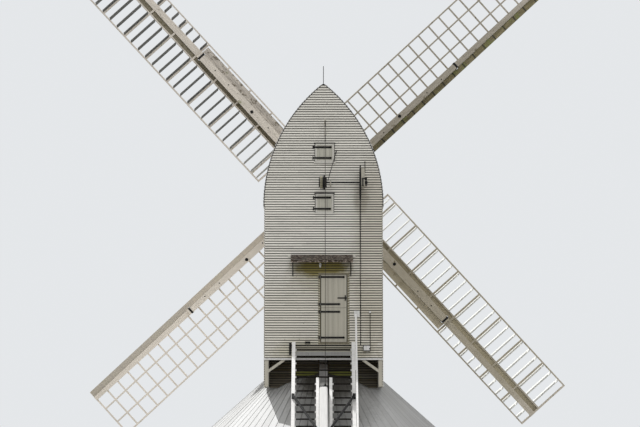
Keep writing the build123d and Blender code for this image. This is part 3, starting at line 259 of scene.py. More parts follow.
def times(tree, *values):
    return math(tree, "MULTIPLY", *values)


def vector_math(tree, operation, *values):
    return node(tree, "ShaderNodeVectorMath", dict(enumerate(values)), operation=operation)


def noise(tree, place, scale, detail, roughness, distortion=0.0):
    return node(tree, "ShaderNodeTexNoise", {"Vector": place, "Scale": scale, "Detail": detail,
                                             "Roughness": roughness, "Distortion": distortion})


def ranged(tree, value, low, high, to_low=0.0, to_high=1.0, kind="LINEAR"):
    """A value moved from one range to another."""
    return node(tree, "ShaderNodeMapRange", {"Value": value, "From Min": low, "From Max": high,
                                             "To Min": to_low, "To Max": to_high}, interpolation_type=kind)


def soft_step(tree, value, low, high):
    return ranged(tree, value, low, high, kind="SMOOTHSTEP")


def mix(tree, share, below, above):
    """Mix two colours by a share."""
    return node(tree, "ShaderNodeMix", {0: share, 6: below, 7: above}, data_type="RGBA").outputs[2]


def grouped(tree, make, **inputs):
    """A node that runs a shader group."""
    return node(tree, "ShaderNodeGroup", inputs, node_tree=make())


def split(tree, vector):
    return node(tree, "ShaderNodeSeparateXYZ", {0: vector}).outputs


def joined(tree, x, y, z):
    return node(tree, "ShaderNodeCombineXYZ", {0: x, 1: y, 2: z})


def attribute(tree, name, kind):
    return node(tree, "GeometryNodeInputNamedAttribute", {"Name": name}, data_type=kind)


def drawn(tree, inputs):
    """A random number."""
    return node(tree, "FunctionNodeRandomValue", inputs, data_type="FLOAT").outputs[1]


def store_tint(tree, geometry, value, domain):
    return node(tree, "GeometryNodeStoreNamedAttribute",
                {"Geometry": geometry, "Name": "tint", "Value": value}, data_type="FLOAT", domain=domain)


def aligned(tree, axis, vector, pivot="AUTO", **more):
    """A rotation that turns an axis to a vector."""
    return node(tree, "FunctionNodeAlignRotationToVector", {"Vector": vector, **more}, axis=axis,
                pivot_axis=pivot)


SOCKETS = {float: "NodeSocketFloat", int: "NodeSocketInt", tuple: "NodeSocketVector"}


def once(name, inputs, outputs=()):
    """Turn a function that fills a node tree into one that returns the tree, filled the first time.

    With outputs the tree is a shader group, and the function returns what goes out. Without them it is a
    shape tree, and the function returns a geometry, whose instances are made real and painted at the end.
    """
    sockets = [(title, SOCKETS[type(value)], value) for title, value in inputs.items()]
    if not outputs:
        sockets.insert(0, ("Geometry", "NodeSocketGeometry", None))
        sockets.append(("Material", "NodeSocketMaterial", None))

    def wrap(fill):
        def make():
            tree = bpy.data.node_groups.get(name)
            if tree:
                return tree
            tree = bpy.data.node_groups.new(name, "ShaderNodeTree" if outputs else "GeometryNodeTree")
            for title, kind, value in sockets:
                socket = tree.interface.new_socket(title, in_out="INPUT", socket_type=kind)
                if value is not None:
                    socket.default_value = value
            for title in outputs or ["Geometry"]:
                kind = SOCKETS[float] if outputs else "NodeSocketGeometry"
                tree.interface.new_socket(title, in_out="OUTPUT", socket_type=kind)
            start = tree.nodes.new("NodeGroupInput").outputs
            end = tree.nodes.new("NodeGroupOutput")
            made = fill(tree, start)
            if not outputs:
                real = node(tree, "GeometryNodeRealizeInstances", {"Geometry": made})
                painted = {"Geometry": real, "Material": start["Material"]}
                made = [node(tree, "GeometryNodeSetMaterial", painted)]
            feed(tree, end, dict(enumerate(made)))
            return tree
        return make
    return wrap


@once("Planks from outlines", {"Thickness": 0.012, "Tint Seed": 7})
def plank_tree(tree, start):
    """Turns each face of an outline mesh into a board of one thickness with a random tint."""
    front = node(tree, "GeometryNodeExtrudeMesh",
                 {"Mesh": start["Geometry"], "Offset Scale": start["Thickness"], "Individual": True},
                 mode="FACES")
    back = node(tree, "GeometryNodeFlipFaces", {"Mesh": start["Geometry"]})
    both = node(tree, "GeometryNodeJoinGeometry", {"Geometry": [front.outputs["Mesh"], back]})
    closed = node(tree, "GeometryNodeMergeByDistance", {"Geometry": both, "Distance": 0.00005})
    tint = drawn(tree, {"ID": attribute(tree, "board", "INT"), "Seed": start["Tint Seed"]})
    return store_tint(tree, closed, tint, "FACE")


@once("Bolts on points", {"Radius": 0.02})
def bolt_tree(tree, start):
    """Puts a washer and a six-sided head on every point, standing along the point's aim."""
    wide, thin, high, top = [times(tree, start["Radius"], share) for share in (1.6, 0.3, 0.95, 0.72)]
    washer = node(tree, "GeometryNodeMeshCylinder", {"Vertices": 12, "Radius": wide, "Depth": thin})
    head = node(tree, "GeometryNodeMeshCone",
                {"Vertices": 6, "Radius Top": top, "Radius Bottom": start["Radius"], "Depth": high})
    bolt = node(tree, "GeometryNodeJoinGeometry", {"Geometry": [washer, head]})
    turn = aligned(tree, "Z", attribute(tree, "aim", "FLOAT_VECTOR"))
    return node(tree, "GeometryNodeInstanceOnPoints",
                {"Points": start["Geometry"], "Instance": bolt, "Rotation": turn})


@once("Chain along path", {"Pitch": 0.042, "Wire Radius": 0.0055})
def chain_tree(tree, start):
    """Lays oval links along an edge path, each turned a quarter from the one before."""
    path = node(tree, "GeometryNodeMeshToCurve", {"Mesh": start["Geometry"]})
    stops = node(tree, "GeometryNodeResampleCurve", {"Curve": path, "Length": start["Pitch"]}, mode="LENGTH")
    ahead = aligned(tree, "X", node(tree, "GeometryNodeInputTangent"))
    odd = math(tree, "MODULO", node(tree, "GeometryNodeInputIndex"), 2.0)
    roll = node(tree, "FunctionNodeAxisAngleToRotation",
                {"Axis": (1.0, 0.0, 0.0), "Angle": times(tree, odd, pi / 2)})
    turned = node(tree, "FunctionNodeRotateRotation", {"Rotation": ahead, "Rotate By": roll},
                  rotation_space="LOCAL")
    around = node(tree, "GeometryNodeCurvePrimitiveCircle", {"Resolution": 12, "Radius": start["Pitch"]})
    long = node(tree, "GeometryNodeTransform", {"Geometry": around, "Scale": (0.68, 0.34, 1.0)})
    wire = node(tree, "GeometryNodeCurvePrimitiveCircle", {"Resolution": 5, "Radius": start["Wire Radius"]})
    link = node(tree, "GeometryNodeCurveToMesh", {"Curve": long, "Profile Curve": wire})
    return node(tree, "GeometryNodeInstanceOnPoints",
                {"Points": stops, "Instance": link, "Rotation": turned})


@once("Bricks on courses", {"Size": (0.215, 0.065, 0.04), "Unevenness": 0.0015, "Seed": 3})
def brick_tree(tree, start):
    """Stands a brick on every point of the courses, facing along the point's aim."""
    brick = node(tree, "GeometryNodeMeshCube", {"Size": start["Size"]})
    aim = attribute(tree, "aim", "FLOAT_VECTOR")
    share = attribute(tree, "share", "FLOAT")
    facing = aligned(tree, "Z", aim, "Y", Rotation=aligned(tree, "Y", (0.0, 0.0, 1.0)))
    out = drawn(tree, {"Seed": start["Seed"], 3: start["Unevenness"]})
    shift = node(tree, "ShaderNodeVectorMath", {0: aim, "Scale": out}, operation="SCALE")
    moved = node(tree, "GeometryNodeSetPosition", {"Geometry": start["Geometry"], "Offset": shift})
    shares = joined(tree, share, 1.0, 1.0)
    placed = node(tree, "GeometryNodeInstanceOnPoints",
                  {"Points": moved, "Instance": brick, "Rotation": facing, "Scale": shares})
    return store_tint(tree, placed, drawn(tree, {"Seed": math(tree, "ADD", start["Seed"], 1.0)}), "INSTANCE")


# Outlines and points that the trees work on

class Outlines:
    """Collects the flat outlines of boards, each with its number and its grain's directions."""

    def __init__(self):
        self.points = []
        self.faces = []
        self.numbers = []
        self.grain = []

    def board(self, corners, grain, number):
        first = len(self.points)
        self.points.extend(corners)
        self.faces.append(tuple(range(first, first + len(corners))))
        self.numbers.append(number)
        self.grain.extend(grain)

    def done(self, name, body, slot, finish, thickness, seed):
        """Everything collected, as one piece.

        The map named grain runs along and across each board in metres.
        """
        made = new_mesh(self.points, [], self.faces)
        made.attributes.new("board", "INT", "FACE").data.foreach_set("value", self.numbers)
        layer = made.uv_layers.new(name="grain")
        for place, pair in enumerate(self.grain):
            layer.data[place].uv = pair
        settle(made, plank_tree, {"Thickness": thickness, "Tint Seed": seed}, name, body, slot, finish)


def new_mesh(points, edges=(), faces=()):
    made = bpy.data.meshes.new("outline")
    made.from_pydata([tuple(point) for point in points], edges, faces)
    return made


def new_object(name, data):
    made = bpy.data.objects.new(name, data)
    bpy.context.scene.collection.objects.link(made)
    return made


def points_mesh(places, aims, shares=None):
    """Loose points, each with the direction that its fitting faces."""
    made = new_mesh(places)
    aim = made.attributes.new("aim", "FLOAT_VECTOR", "POINT")
    aim.data.foreach_set("vector", [value for direction in aims for value in direction])
    if shares:
        made.attributes.new("share", "FLOAT", "POINT").data.foreach_set("value", shares)
    return made


def settle(mesh, make, values, name, body, slot, finish, *stands_for):
    """Run a shape tree on a mesh, keep the result as one plain mesh, and let it ride on a body."""
    values = {**values, "Material": paint(finish)}
    guide = new_object(name + "_guide", mesh)
    modifier = guide.modifiers.new("Shape", "NODES")
    modifier.node_group = make()
    for item in modifier.node_group.interface.items_tree:
        if item.item_type == "SOCKET" and item.in_out == "INPUT" and item.name in values:
            modifier[item.identifier] = values[item.name]
    bpy.context.view_layer.update()
    evaluated = guide.evaluated_get(bpy.context.evaluated_depsgraph_get())
    result = bpy.data.meshes.new_from_object(evaluated)
    guide.modifiers.clear()
    bpy.data.objects.remove(guide)
    bpy.data.meshes.remove(mesh)
    keep(result, name, body, slot, *stands_for)


def keep(mesh, name, body, slot, *stands_for):
    """A finished mesh becomes a piece of the mill that rides on a body."""
    mesh.name = name
    piece = new_object(name, mesh)
    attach(piece, body)
    if stands_for:
        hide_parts(*stands_for)


class Blocks:
    """Collects bevelled blocks, rods and rings into one closed mesh."""

    def __init__(self, bevel=IRON_BEVEL):
        self.mesh = bmesh.new()
        self.bevel = bevel

    def beam(self, start, end, width, height, side=(1, 0, 0)):
        """A block from start to end, width across along side."""
        start = Vector(start)
        end = Vector(end)
        along = (end - start).normalized()
        across = Vector(side)
        across = (across - along * across.dot(along)).normalized()
        up = along.cross(across)
        matrix = Matrix((across * width, up * height, along * (end - start).length)).transposed().to_4x4()
        matrix.translation = (start + end) / 2
        made = bmesh.ops.create_cube(self.mesh, size=1, matrix=matrix)
        edges = {edge for vert in made["verts"] for edge in vert.link_edges}
        offset = min(self.bevel, width / 4, height / 4)
        bmesh.ops.bevel(self.mesh, geom=list(edges), offset=offset, segments=1, affect="EDGES")

    def box(self, low, high):
        """A block between two corners."""
        x, y, _ = [(a + b) / 2 for a, b in zip(low, high)]
        self.beam((x, y, low[2]), (x, y, high[2]), high[0] - low[0], high[1] - low[1])

    def on_tail(self, left, right, out, foot, top, back=BACKING):
        """A block on the tail wall that reaches out from its face."""
        self.box((left, TAIL_Y - out, foot), (right, TAIL_Y - back, top))

    def rod(self, start, end, radius, tip=None, sides=12):
        """A round bar from start to end, to another radius at its tip if that is given."""
        start = Vector(start)
        end = Vector(end)
        along = end - start
        matrix = Matrix.Translation((start + end) / 2) @ along.to_track_quat("Z", "Y").to_matrix().to_4x4()
        bmesh.ops.create_cone(self.mesh, cap_ends=True, segments=sides, radius1=radius,
                              radius2=radius if tip is None else tip, depth=along.length, matrix=matrix)

    def rod_off_tail(self, start, end, radius, tip=None):
        """A round bar whose ends are given across, out from the tail wall and up."""
        ends = [(x, TAIL_Y - out, z) for x, out, z in (start, end)]
        self.rod(*ends, radius, tip)

    def ring(self, centre, inner, outer, width):
        """A flat ring that faces sideways."""
        turn = Vector((1, 0, 0)).to_track_quat("Z", "Y").to_matrix()
        sides = 32
        rows = []
        for step in range(sides):
            angle = 2 * pi * step / sides
            row = []
            for radius, level in ((inner, -0.5), (outer, -0.5), (outer, 0.5), (inner, 0.5)):
                place = Vector((radius * cos(angle), radius * sin(angle), level * width))
                row.append(self.mesh.verts.new(turn @ place + Vector(centre)))
            rows.append(row)
        for near, far in zip(rows, rows[1:] + rows[:1]):
            for corner in range(4):
                after = (corner + 1) % 4
                self.mesh.faces.new((near[corner], far[corner], far[after], near[after]))

    def done(self, name, body, slot="iron", finish="black_iron"):
        """Everything collected, as one piece."""
        bmesh.ops.recalc_face_normals(self.mesh, faces=self.mesh.faces)
        result = bpy.data.meshes.new(name)
        self.mesh.to_mesh(result)
        self.mesh.free()
        result.materials.append(paint(finish))
        keep(result, name, body, slot)


def random_share(number):
    """A steady number from 0 to 1 that looks random, for a whole number."""
    return (sin(number * 12.9898 + 4.1414) * 43758.5453) % 1.0


# Walls

def end_span(height):
    """The buck's width at a height, a little inside the roof's face."""
    half = HALF
    if height > PLATE_Z:
        half = max(0, sqrt(max(0, (ARCH_R - EDGE_INSET) ** 2 - (height - PLATE_Z) ** 2)) - ARCH_SHIFT)
    return [(-half, half)]


def minus(spans, low, high):
    """Spans with the stretch from low to high taken out."""
    left = []
    for start, end in spans:
        if high <= start or low >= end:
            left.append((start, end))
            continue
        if low > start:
            left.append((start, low))
        if high < end:
            left.append((high, end))
    return left


def minus_disc(spans, radius, away):
    """Spans with the chord of a disc taken out that passes at a distance from its middle."""
    if radius <= abs(away):
        return spans
    gap = sqrt(radius ** 2 - away ** 2)
    return minus(spans, -gap, gap)


def lay_boards(outlines, place, span, levels, sizes, exposure, stagger, cuts=()):
    """Lay rows of lapped boards on a wall.

    place turns across, up and out into a point, span gives the wall's stretches at a height, levels are the
    foot and the top, and cuts are the heights where the wall's outline changes.
    """
    foot, top = levels
    least = 0.012
    near = 0.002
    for row in range(ceil((top - foot) / exposure)):
        low = foot + row * exposure
        high = min(low + exposure + sizes.lap, top)
        if high - low < least:
            continue
        edges = [low] + sorted(cut for cut in cuts if low + near < cut < high - near) + [high]
        for band in zip(edges, edges[1:]):
            lay_band(outlines, place, span, band, (low, high), sizes, row, stagger)


def lay_band(outlines, place, span, band, row_levels, sizes, row, stagger):
    """The part of one row between two heights, in as many boards as there are joints and gaps.

    stagger is the usual length of a board. Joints stand at random, clear of the ends of a stretch.
    """
    low, high = band
    inside = 0.0025
    joint = 0.001
    smallest = 0.004
    clear_start = 0.3
    clear_end = 0.4
    spans = zip(span(low + inside), span(high - inside))
    for side, ((left_low, right_low), (left_high, right_high)) in enumerate(spans):
        ends = [(left_low, left_high)]
        at = stagger * (0.2 + 0.8 * random_share(row * 7 + side)) + min(left_low, left_high)
        while at < min(right_low, right_high) - clear_end:
            if at > max(left_low, left_high) + clear_start:
                ends.append((at, at))
            at += stagger * (0.75 + 0.5 * random_share(row * 3 + int(at * 5)))
        ends.append((right_low, right_high))
        for piece, (start, end) in enumerate(zip(ends, ends[1:])):
            gap_start = joint if piece else 0
            gap_end = joint if piece < len(ends) - 2 else 0
            corners = []
            grain = []
            for across, height in ((start[0] + gap_start, low), (end[0] - gap_end, low),
                                   (end[1] - gap_end, high), (start[1] + gap_start, high)):
                share = (height - row_levels[0]) / (row_levels[1] - row_levels[0])
                out = sizes.butt + (sizes.head - sizes.butt) * share - sizes.thickness
                corners.append(place(across, height, out))
                grain.append((across, height - row_levels[0]))
            if abs(corners[1][0] - corners[0][0]) + abs(corners[1][1] - corners[0][1]) < smallest:
                del corners[1]
                del grain[1]
            outlines.board(corners, grain, row * 40 + side * 10 + piece)


def tail_span(height):
    spans = end_span(height)
    for middle, foot, width, tall in TAIL_OPENINGS:
        if foot < height < foot + tall:
            spans = minus(spans, middle - width / 2, middle + width / 2)
    return spans


def cone_reach(height, lift):
    """Radius at which the roundhouse roof raised by lift is as high as this."""
    return max(0, (HOUSE_APEX + lift - height) / tan(HOUSE_PITCH))


def side_span(height):
    return minus_disc([(TAIL_Y, BREAST_Y)], cone_reach(height, SIDE_CLEAR), HALF)


def left_span(height):
    return [(-high, -low) for low, high in reversed(side_span(height))]


def breast_span(height):
    return minus_disc(end_span(height), SHAFT_HOLE_R, height - SHAFT_BREAST_Z)


def skirt_span(height):
    inside = HALF - 0.11
    spans = minus_disc([(-inside, inside)], cone_reach(height, SKIRT_CLEAR), SKIRT_Y)
    if height < POLE_TOP:
        spans = minus(spans, -POLE_HALF, POLE_HALF)
    return spans


def roof_span(up):
    """The roof is as long at every place on its curve."""
    return [(TAIL_Y - ROOF_OVER, BREAST_Y + ROOF_OVER)]


def roof_place(side):
    """Turns a place on one half of the roof, along and up its curve, into a point."""
    middle = (TAIL_Y + BREAST_Y) / 2

    def place(across, up, out):
        angle = up / ARCH_R
        radius = ARCH_R + out
        x = radius * cos(angle) - ARCH_SHIFT
        return Vector((side * x, middle + side * (across - middle), PLATE_Z + radius * sin(angle)))
    return place


class MILL_OT_weatherboards(bpy.types.Operator):
    """Lay the lapped white boards on the walls and the pointed roof of the buck"""

    bl_idname = "mill.weatherboards"
    bl_label = "Weatherboards"

    def execute(self, context):
        sizes = context.scene.mill_boards
        side_cuts = [HOUSE_APEX + SIDE_CLEAR - HALF * tan(HOUSE_PITCH)]
        breast_cuts = [SHAFT_BREAST_Z - SHAFT_HOLE_R, SHAFT_BREAST_Z + SHAFT_HOLE_R, PLATE_Z]
        skirt_cuts = [POLE_TOP, HOUSE_APEX + SKIRT_CLEAR + SKIRT_Y * tan(HOUSE_PITCH)]
        peak = PEAK_Z - 0.04
        rise = ARCH_END * ARCH_R - 0.02
        wall = ("weatherboard", "weatherboard", sizes.exposure, 2.4)
        skirt = ("weatherboard", "skirt_board", sizes.exposure, 2.0)
        roof = ("roof_boards", "roof_board", sizes.roof_exposure, 2.6)
        for name, place, span, foot, top, cuts, (slot, finish, exposure, stagger) in (
                ("tail_boards", lambda across, up, out: Vector((across, TAIL_Y - out, up)), tail_span,
                 TAIL_FOOT, peak, TAIL_CUTS, wall),
                ("right_boards", lambda across, up, out: Vector((HALF + out, across, up)), side_span,
                 WALL_FOOT, PLATE_Z, side_cuts, wall),
                ("left_boards", lambda across, up, out: Vector((-HALF - out, -across, up)), left_span,
                 WALL_FOOT, PLATE_Z, side_cuts, wall),
                ("breast_boards", lambda across, up, out: Vector((-across, BREAST_Y + out, up)), breast_span,
                 WALL_FOOT, peak, breast_cuts, wall),
                ("skirt_boards", lambda across, up, out: Vector((across, SKIRT_Y - out, up)), skirt_span,
                 WALL_FOOT, SKIRT_TOP, skirt_cuts, skirt),
                ("roof_boards_right", roof_place(1), roof_span, 0.0, rise, (), roof),
                ("roof_boards_left", roof_place(-1), roof_span, 0.0, rise, (), roof)):
            outlines = Outlines()
            lay_boards(outlines, place, span, (foot, top), sizes, exposure, stagger, cuts)
            outlines.done(name, "buck", slot, finish, sizes.thickness, sizes.seed)
        return {"FINISHED"}


class MILL_OT_roundhouse(bpy.types.Operator):
    """Lay the radial boards of the roundhouse roof and the bricks of its wall"""

    bl_idname = "mill.roundhouse"
    bl_label = "Roundhouse"

    def execute(self, context):
        sizes = context.scene.mill_roundhouse
        self.roof_boards(sizes)
        self.bricks(sizes)
        return {"FINISHED"}

    def roof_boards(self, sizes):
        outlines = Outlines()
        step = 2 * pi / sizes.boards
        gap = 0.004
        skew = 0.006
        for number in range(sizes.boards):
            lift = 0.001 + 0.006 * random_share(number)
            reach = EAVES_R + 0.012 * random_share(number + 300)
            corners = []
            grain = []
            for radius, side in ((reach, 0), (reach, 1), (TOP_RING_R, 1), (TOP_RING_R, 0)):
                angle = (number + side) * step + (gap if side == 0 else -gap) / radius
                z = HOUSE_APEX - radius * tan(HOUSE_PITCH) + (lift + skew * side) / cos(HOUSE_PITCH)
                corners.append(Vector((radius * cos(angle), radius * sin(angle), z)))
                grain.append((radius / cos(HOUSE_PITCH), side * HOUSE_BOARD_MAP))
            outlines.board(corners, grain, number)
        outlines.done("roundhouse_boards", "root", "roof_boards", "house_roof_board", sizes.board_thickness,
                      11)

    def bricks(self, sizes):
        course = sizes.brick_height + sizes.joint
        count = round(2 * pi * HOUSE_R / (sizes.brick_length + sizes.joint))
        stand = 0.004
        deep = 0.04
        smallest = 0.08
        radius = HOUSE_R + stand - deep / 2
        step = 2 * pi / count
        half = sizes.brick_length / 2 / HOUSE_R
        limit = asin(HOUSE_DOOR_HALF / HOUSE_R)
        top = HOUSE_APEX - HOUSE_R * tan(HOUSE_PITCH) - ROOF_THICK / cos(HOUSE_PITCH)
        places = []
        aims = []
        shares = []
        for row in range(int(top / course)):
            z = (row + 0.5) * course
            for number in range(count):
                angle = (number + 0.5 * (row % 2)) * step
                share = 1.0
                if z < HOUSE_DOOR_TOP + course / 2 and cos(angle) > 0:
                    low = (angle + pi) % (2 * pi) - pi - half
                    high = low + 2 * half
                    if low > -limit and high < limit:
                        continue
                    if low < limit < high:
                        low = limit
                    if low < -limit < high:
                        high = -limit
                    share = (high - low) / (2 * half)
                    angle = (low + high) / 2
                    if share < smallest:
                        continue
                places.append((radius * cos(angle), radius * sin(angle), z))
                aims.append((cos(angle), sin(angle), 0))
                shares.append(share)
        settle(points_mesh(places, aims, shares), brick_tree,
               {"Size": (sizes.brick_length, sizes.brick_height, deep)},
               "roundhouse_bricks", "root", "limewash", "limewashed_brick")


# Door, hatches and hood

def leaf_boards(outlines, edges, foot, top, front, number):
    """Upright boards between edges on a leaf, facing the tail."""
    gap = 0.003
    for place, (left, right) in enumerate(zip(edges, edges[1:])):
        corners = [Vector((left + gap, front, foot)), Vector((right - gap, front, foot)),
                   Vector((right - gap, front, top)), Vector((left + gap, front, top))]
        grain = [(foot, 0), (foot, right - left), (top, right - left), (top, 0)]
        outlines.board(corners, grain, number + place)


def strap_hinge(iron, start, end, z, front, back):
    """An iron strap with its knuckle at start, a flat tongue and a rounded tip."""
    height = 0.05
    knuckle = height * 0.85
    face = front - 0.004
    tip = end - 0.03
    iron.box((start, face, z - height / 2), (tip, back, z + height / 2))
    iron.rod((tip, back, z), (tip, face, z), height * 0.62)
    iron.rod((start, face, z - knuckle), (start, face, z + knuckle), 0.014)
    for share in (0.25, 0.55, 0.85):
        x = start + share * (end - start)
        iron.rod((x, front - 0.003, z), (x, front - 0.009, z), 0.009, 0.006, sides=8)


class MILL_OT_doors(bpy.types.Operator):
    """Board the door's leaves and the hatches, hang them on black iron straps, and edge them with black
    strips that paint the shade of the gaps round them
    """

    bl_idname = "mill.doors"
    bl_label = "Door and hatches"

    def execute(self, context):
        low, foot, width, height = DOOR
        face = TAIL_Y - 0.024
        gap_shade_strip = 0.013
        gap = 0.02
        clear = 0.009
        split = 0.005
        shares = (0, 0.23, 0.305, 0.43, 0.5, 0.66, 0.9, 1)
        edges = [low + gap + share * (width - 2 * gap) for share in shares]
        leaves = (("upper_door", DOOR_SPLIT + split, foot + height - clear),
                  ("lower_door", foot + clear, DOOR_SPLIT - split))
        for body, leaf_foot, leaf_top in leaves:
            outlines = Outlines()
            leaf_boards(outlines, edges, leaf_foot, leaf_top, face + 0.001, 0)
            outlines.done(body + "_boards", body, "door_paint", "door_board", 0.009, 5)
        for body, leaf_foot, leaf_top in leaves:
            iron = Blocks()
            for z, reach in STRAPS[body]:
                strap_hinge(iron, HINGE_X, HINGE_X + reach, z, face - 0.025, face)
            if body == "upper_door":
                self.latch(iron, low + width - 0.028, face)
            # Black strips down both edges of each leaf paint the shade of the gap between leaf and frame.
            for start in (low + 0.006, low + width - gap + 0.001):
                iron.box((start, face - 0.008, leaf_foot), (start + gap_shade_strip, face, leaf_top))
            iron.done(body + "_straps", body)
        self.hatches()
        return {"FINISHED"}

    def latch(self, iron, end, face):
        """The latch bar, its grip and its staple."""
        z = 6.2
        iron.box((end - 0.244, face - 0.019, z - 0.018), (end + 0.004, face, z + 0.018))
        iron.box((end - 0.044, face - 0.038, z - 0.074), (end - 0.012, face - 0.014, z + 0.074))
        iron.rod((end - 0.028, face - 0.038, z), (end - 0.028, face - 0.07, z), 0.012, 0.018)

    def hatches(self):
        """The hatches' boards and straps, and black strips round them that paint the shade lines of their
        frames.
        """
        outlines = Outlines()
        iron = Blocks()
        edge = 0.052
        for number, (x, z, across, tall) in enumerate((UPPER_HATCH, LOWER_HATCH)):
            half = across / 2
            left = x - half + edge
            right = x + half - edge
            edges = [left + share * (right - left) for share in (0, 0.27, 0.52, 0.76, 1)]
            leaf_boards(outlines, edges, z + edge, z + tall - edge, TAIL_Y + 0.001, number * 10)
            for share in (0.22, 0.8):
                strap_hinge(iron, x - half - 0.055, x + half - 0.07, z + share * tall, TAIL_Y - 0.027,
                            TAIL_Y - 0.009)
            # Black strips above, below and beside each hatch paint the shade lines round its frame.
            for level, thick in ((z - 0.034, 0.034), (z + tall, 0.022)):
                iron.on_tail(x - half - 0.03, x + half + 0.03, 0.05, level, level + thick, HATCH_BACKING)
            for side in (-1, 1):
                edge_x = x + side * (half + 0.005)
                iron.on_tail(edge_x - 0.006, edge_x + 0.006, 0.046, z, z + tall, HATCH_BACKING)
        outlines.done("hatch_boards", "buck", "door_paint", "hatch_board", 0.008, 6)
        iron.done("hatch_straps_and_shade_strips", "buck")


class MILL_OT_hood(bpy.types.Operator):
    """Shingle the porch hood and board its ends"""

    bl_idname = "mill.hood"
    bl_label = "Porch hood"

    def execute(self, context):
        sizes = context.scene.mill_fittings
        centre, top_z, width, out, pitch = HOOD
        low = centre - width / 2
        slope = out / cos(pitch)
        row_height = slope / sizes.shingle_rows
        count = round(width / sizes.shingle_width)
        gap = 0.0015
        outlines = Outlines()
        number = 0
        for row in range(sizes.shingle_rows):
            down = row * row_height
            lap = row_height * 0.35 if row else 0
            edges = [0.0]
            for place in range(1, count):
                edges.append((place + (random_share(row * 31 + place) - 0.5) * 0.5) / count)
            edges.append(1.0)
            for left, right in zip(edges, edges[1:]):
                ragged = 0.014 * random_share(number)
                end = min(down + row_height + ragged, slope + 0.012)
                begin = max(0.0, down - lap)
                corners = []
                grain = []
                for share, along in ((left, end), (right, end), (right, begin), (left, begin)):
                    x = low + width * share + (gap if share == left else -gap)
                    stand = 0.002 + 0.018 * (along - begin) / (end - begin)
                    y = TAIL_Y - along * cos(pitch) - stand * sin(pitch)
                    z = top_z - along * sin(pitch) + stand * cos(pitch)
                    corners.append(Vector((x, y, z)))
                    grain.append((along, x))
                outlines.board(corners, grain, number)
                number += 1
        outlines.done("hood_shingles", "buck", "shingle", "shingle", 0.008, 9)
        trims = Blocks(WOOD_BEVEL)
        for start, end in ((low - 0.075, low + 0.002), (low + width - 0.002, low + width + 0.075)):
            trims.on_tail(start, end, 0.07, top_z - 0.062, top_z - 0.026, 0.012)
        trims.done("hood_trims", "buck", "white_timber", "hood_trim")
        return {"FINISHED"}


class MILL_OT_tail_fittings(bpy.types.Operator):
    """Fix the boards, boxes, lamp, rods and cleats that stand on the tail wall, and the black lines that
    paint the box's shadow outline
    """

    bl_idname = "mill.tail_fittings"
    bl_label = "Tail fittings"

    def execute(self, context):
        wood = Blocks(WOOD_BEVEL)
        wood.on_tail(-HALF - 0.02, HALF + 0.02, 0.042, TAIL_FOOT - 0.004, TAIL_FOOT + 0.045)
        wood.on_tail(0.84, 0.995, 0.04, 5.675, 5.85)
        wood.on_tail(1.1, 1.275, 0.13, 4.75, 4.885)
        wood.on_tail(1.255, 1.31, 0.075, 5.79, 5.84)
        wood.on_tail(-0.755, 0.755, 0.046, 4.615, 4.725)
        wood.done("tail_blocks", "buck", "white_timber", "white_timber")
        iron = Blocks()
        iron.rod_off_tail((1.283, 0.045, 4.88), (1.283, 0.045, 5.795), 0.009)
        # Black iron lines round the box on the right paint its shadow outline on the wall.
        for left, right, foot, top in ((1.09, 1.285, 4.885, 4.892), (1.09, 1.285, 4.738, 4.75),
                                       (1.088, 1.1, 4.738, 4.892), (1.275, 1.287, 4.738, 4.892)):
            iron.on_tail(left, right, 0.134, foot, top)
        iron.on_tail(1.255, 1.277, 0.136, 4.78, 4.82, 0.128)
        for x in (-0.503, -0.39):
            iron.on_tail(x, x + 0.024, 0.06, 4.945, 4.97)
        iron.on_tail(-0.945, -0.89, 0.06, 4.64, 4.96)
        for start, end, radius in (((-0.503, 0.06, 4.975), (-0.366, 0.06, 4.975), 0.026),
                                   ((0.052, BACKING, 6.956), (0.052, 0.06, 6.956), 0.012),
                                   ((0.355, BACKING, 10.29), (0.355, 0.07, 10.29), 0.014),
                                   ((0.355, 0.06, 10.29), (0.118, 0.47, 9.39), 0.009),
                                   ((1.152, 0.05, 9.7), (1.152, 0.05, 10.0), 0.008),
                                   ((1.152, BACKING, 9.995), (1.152, 0.065, 9.995), 0.012)):
            iron.rod_off_tail(start, end, radius)
        iron.done("tail_irons_and_shade_lines", "buck")
        lamp = Blocks(0.002)
        lamp.rod_off_tail((-0.09, BACKING, 7.125), (-0.09, 0.09, 7.125), 0.034)
        lamp.rod_off_tail((-0.09, 0.075, 7.11), (-0.09, 0.075, 7.04), 0.034, 0.022)
        lamp.done("porch_lamp", "buck", "door_paint", "lamp_glass")
        self.gear()
        return {"FINISHED"}

    def gear(self):
        """The wooden drum and toothed iron wheel on the striking shaft, and the bearing at its end."""
        y = GEAR_Y
        drum = Blocks(0.003)
        staves = 14
        for step in range(staves):
            angle = 2 * pi * step / staves
            middle = Vector((-0.06, y, SHAFT_TAIL_Z)) + Vector((0, cos(angle), sin(angle))) * 0.158
            half = Vector((0.035, 0, 0))
            drum.beam(middle - half, middle + half, 0.067, 0.022, Vector((0, -sin(angle), cos(angle))))
        drum.done("striking_drum", "buck", "iron", "gear_wood")
        iron = Blocks()
        for x, inner, radius, width in ((0.03, 0.05, 0.172, 0.05), (-0.01, 0.03, 0.185, 0.022),
                                        (-0.115, 0.03, 0.14, 0.03)):
            iron.ring((x, y, SHAFT_TAIL_Z), inner, radius, width)
        teeth = 18
        for step in range(teeth):
            angle = 2 * pi * step / teeth
            place = Vector((0, cos(angle), sin(angle)))
            middle = Vector((0.03, y, SHAFT_TAIL_Z))
            iron.beam(middle + place * 0.168, middle + place * 0.192, 0.04, 0.026)
        for left, right, reach, foot, top in ((1.055, 1.2, 0.08, 9.44, 9.465),
                                              (1.065, 1.1, 0.07, 9.25, 9.44),
                                              (1.155, 1.19, 0.07, 9.25, 9.44)):
            iron.box((left, y - reach, foot), (right, y + reach, top))
        iron.rod((1.06, y, SHAFT_TAIL_Z), (1.21, y, SHAFT_TAIL_Z), 0.04)
        iron.done("striking_wheel", "buck")


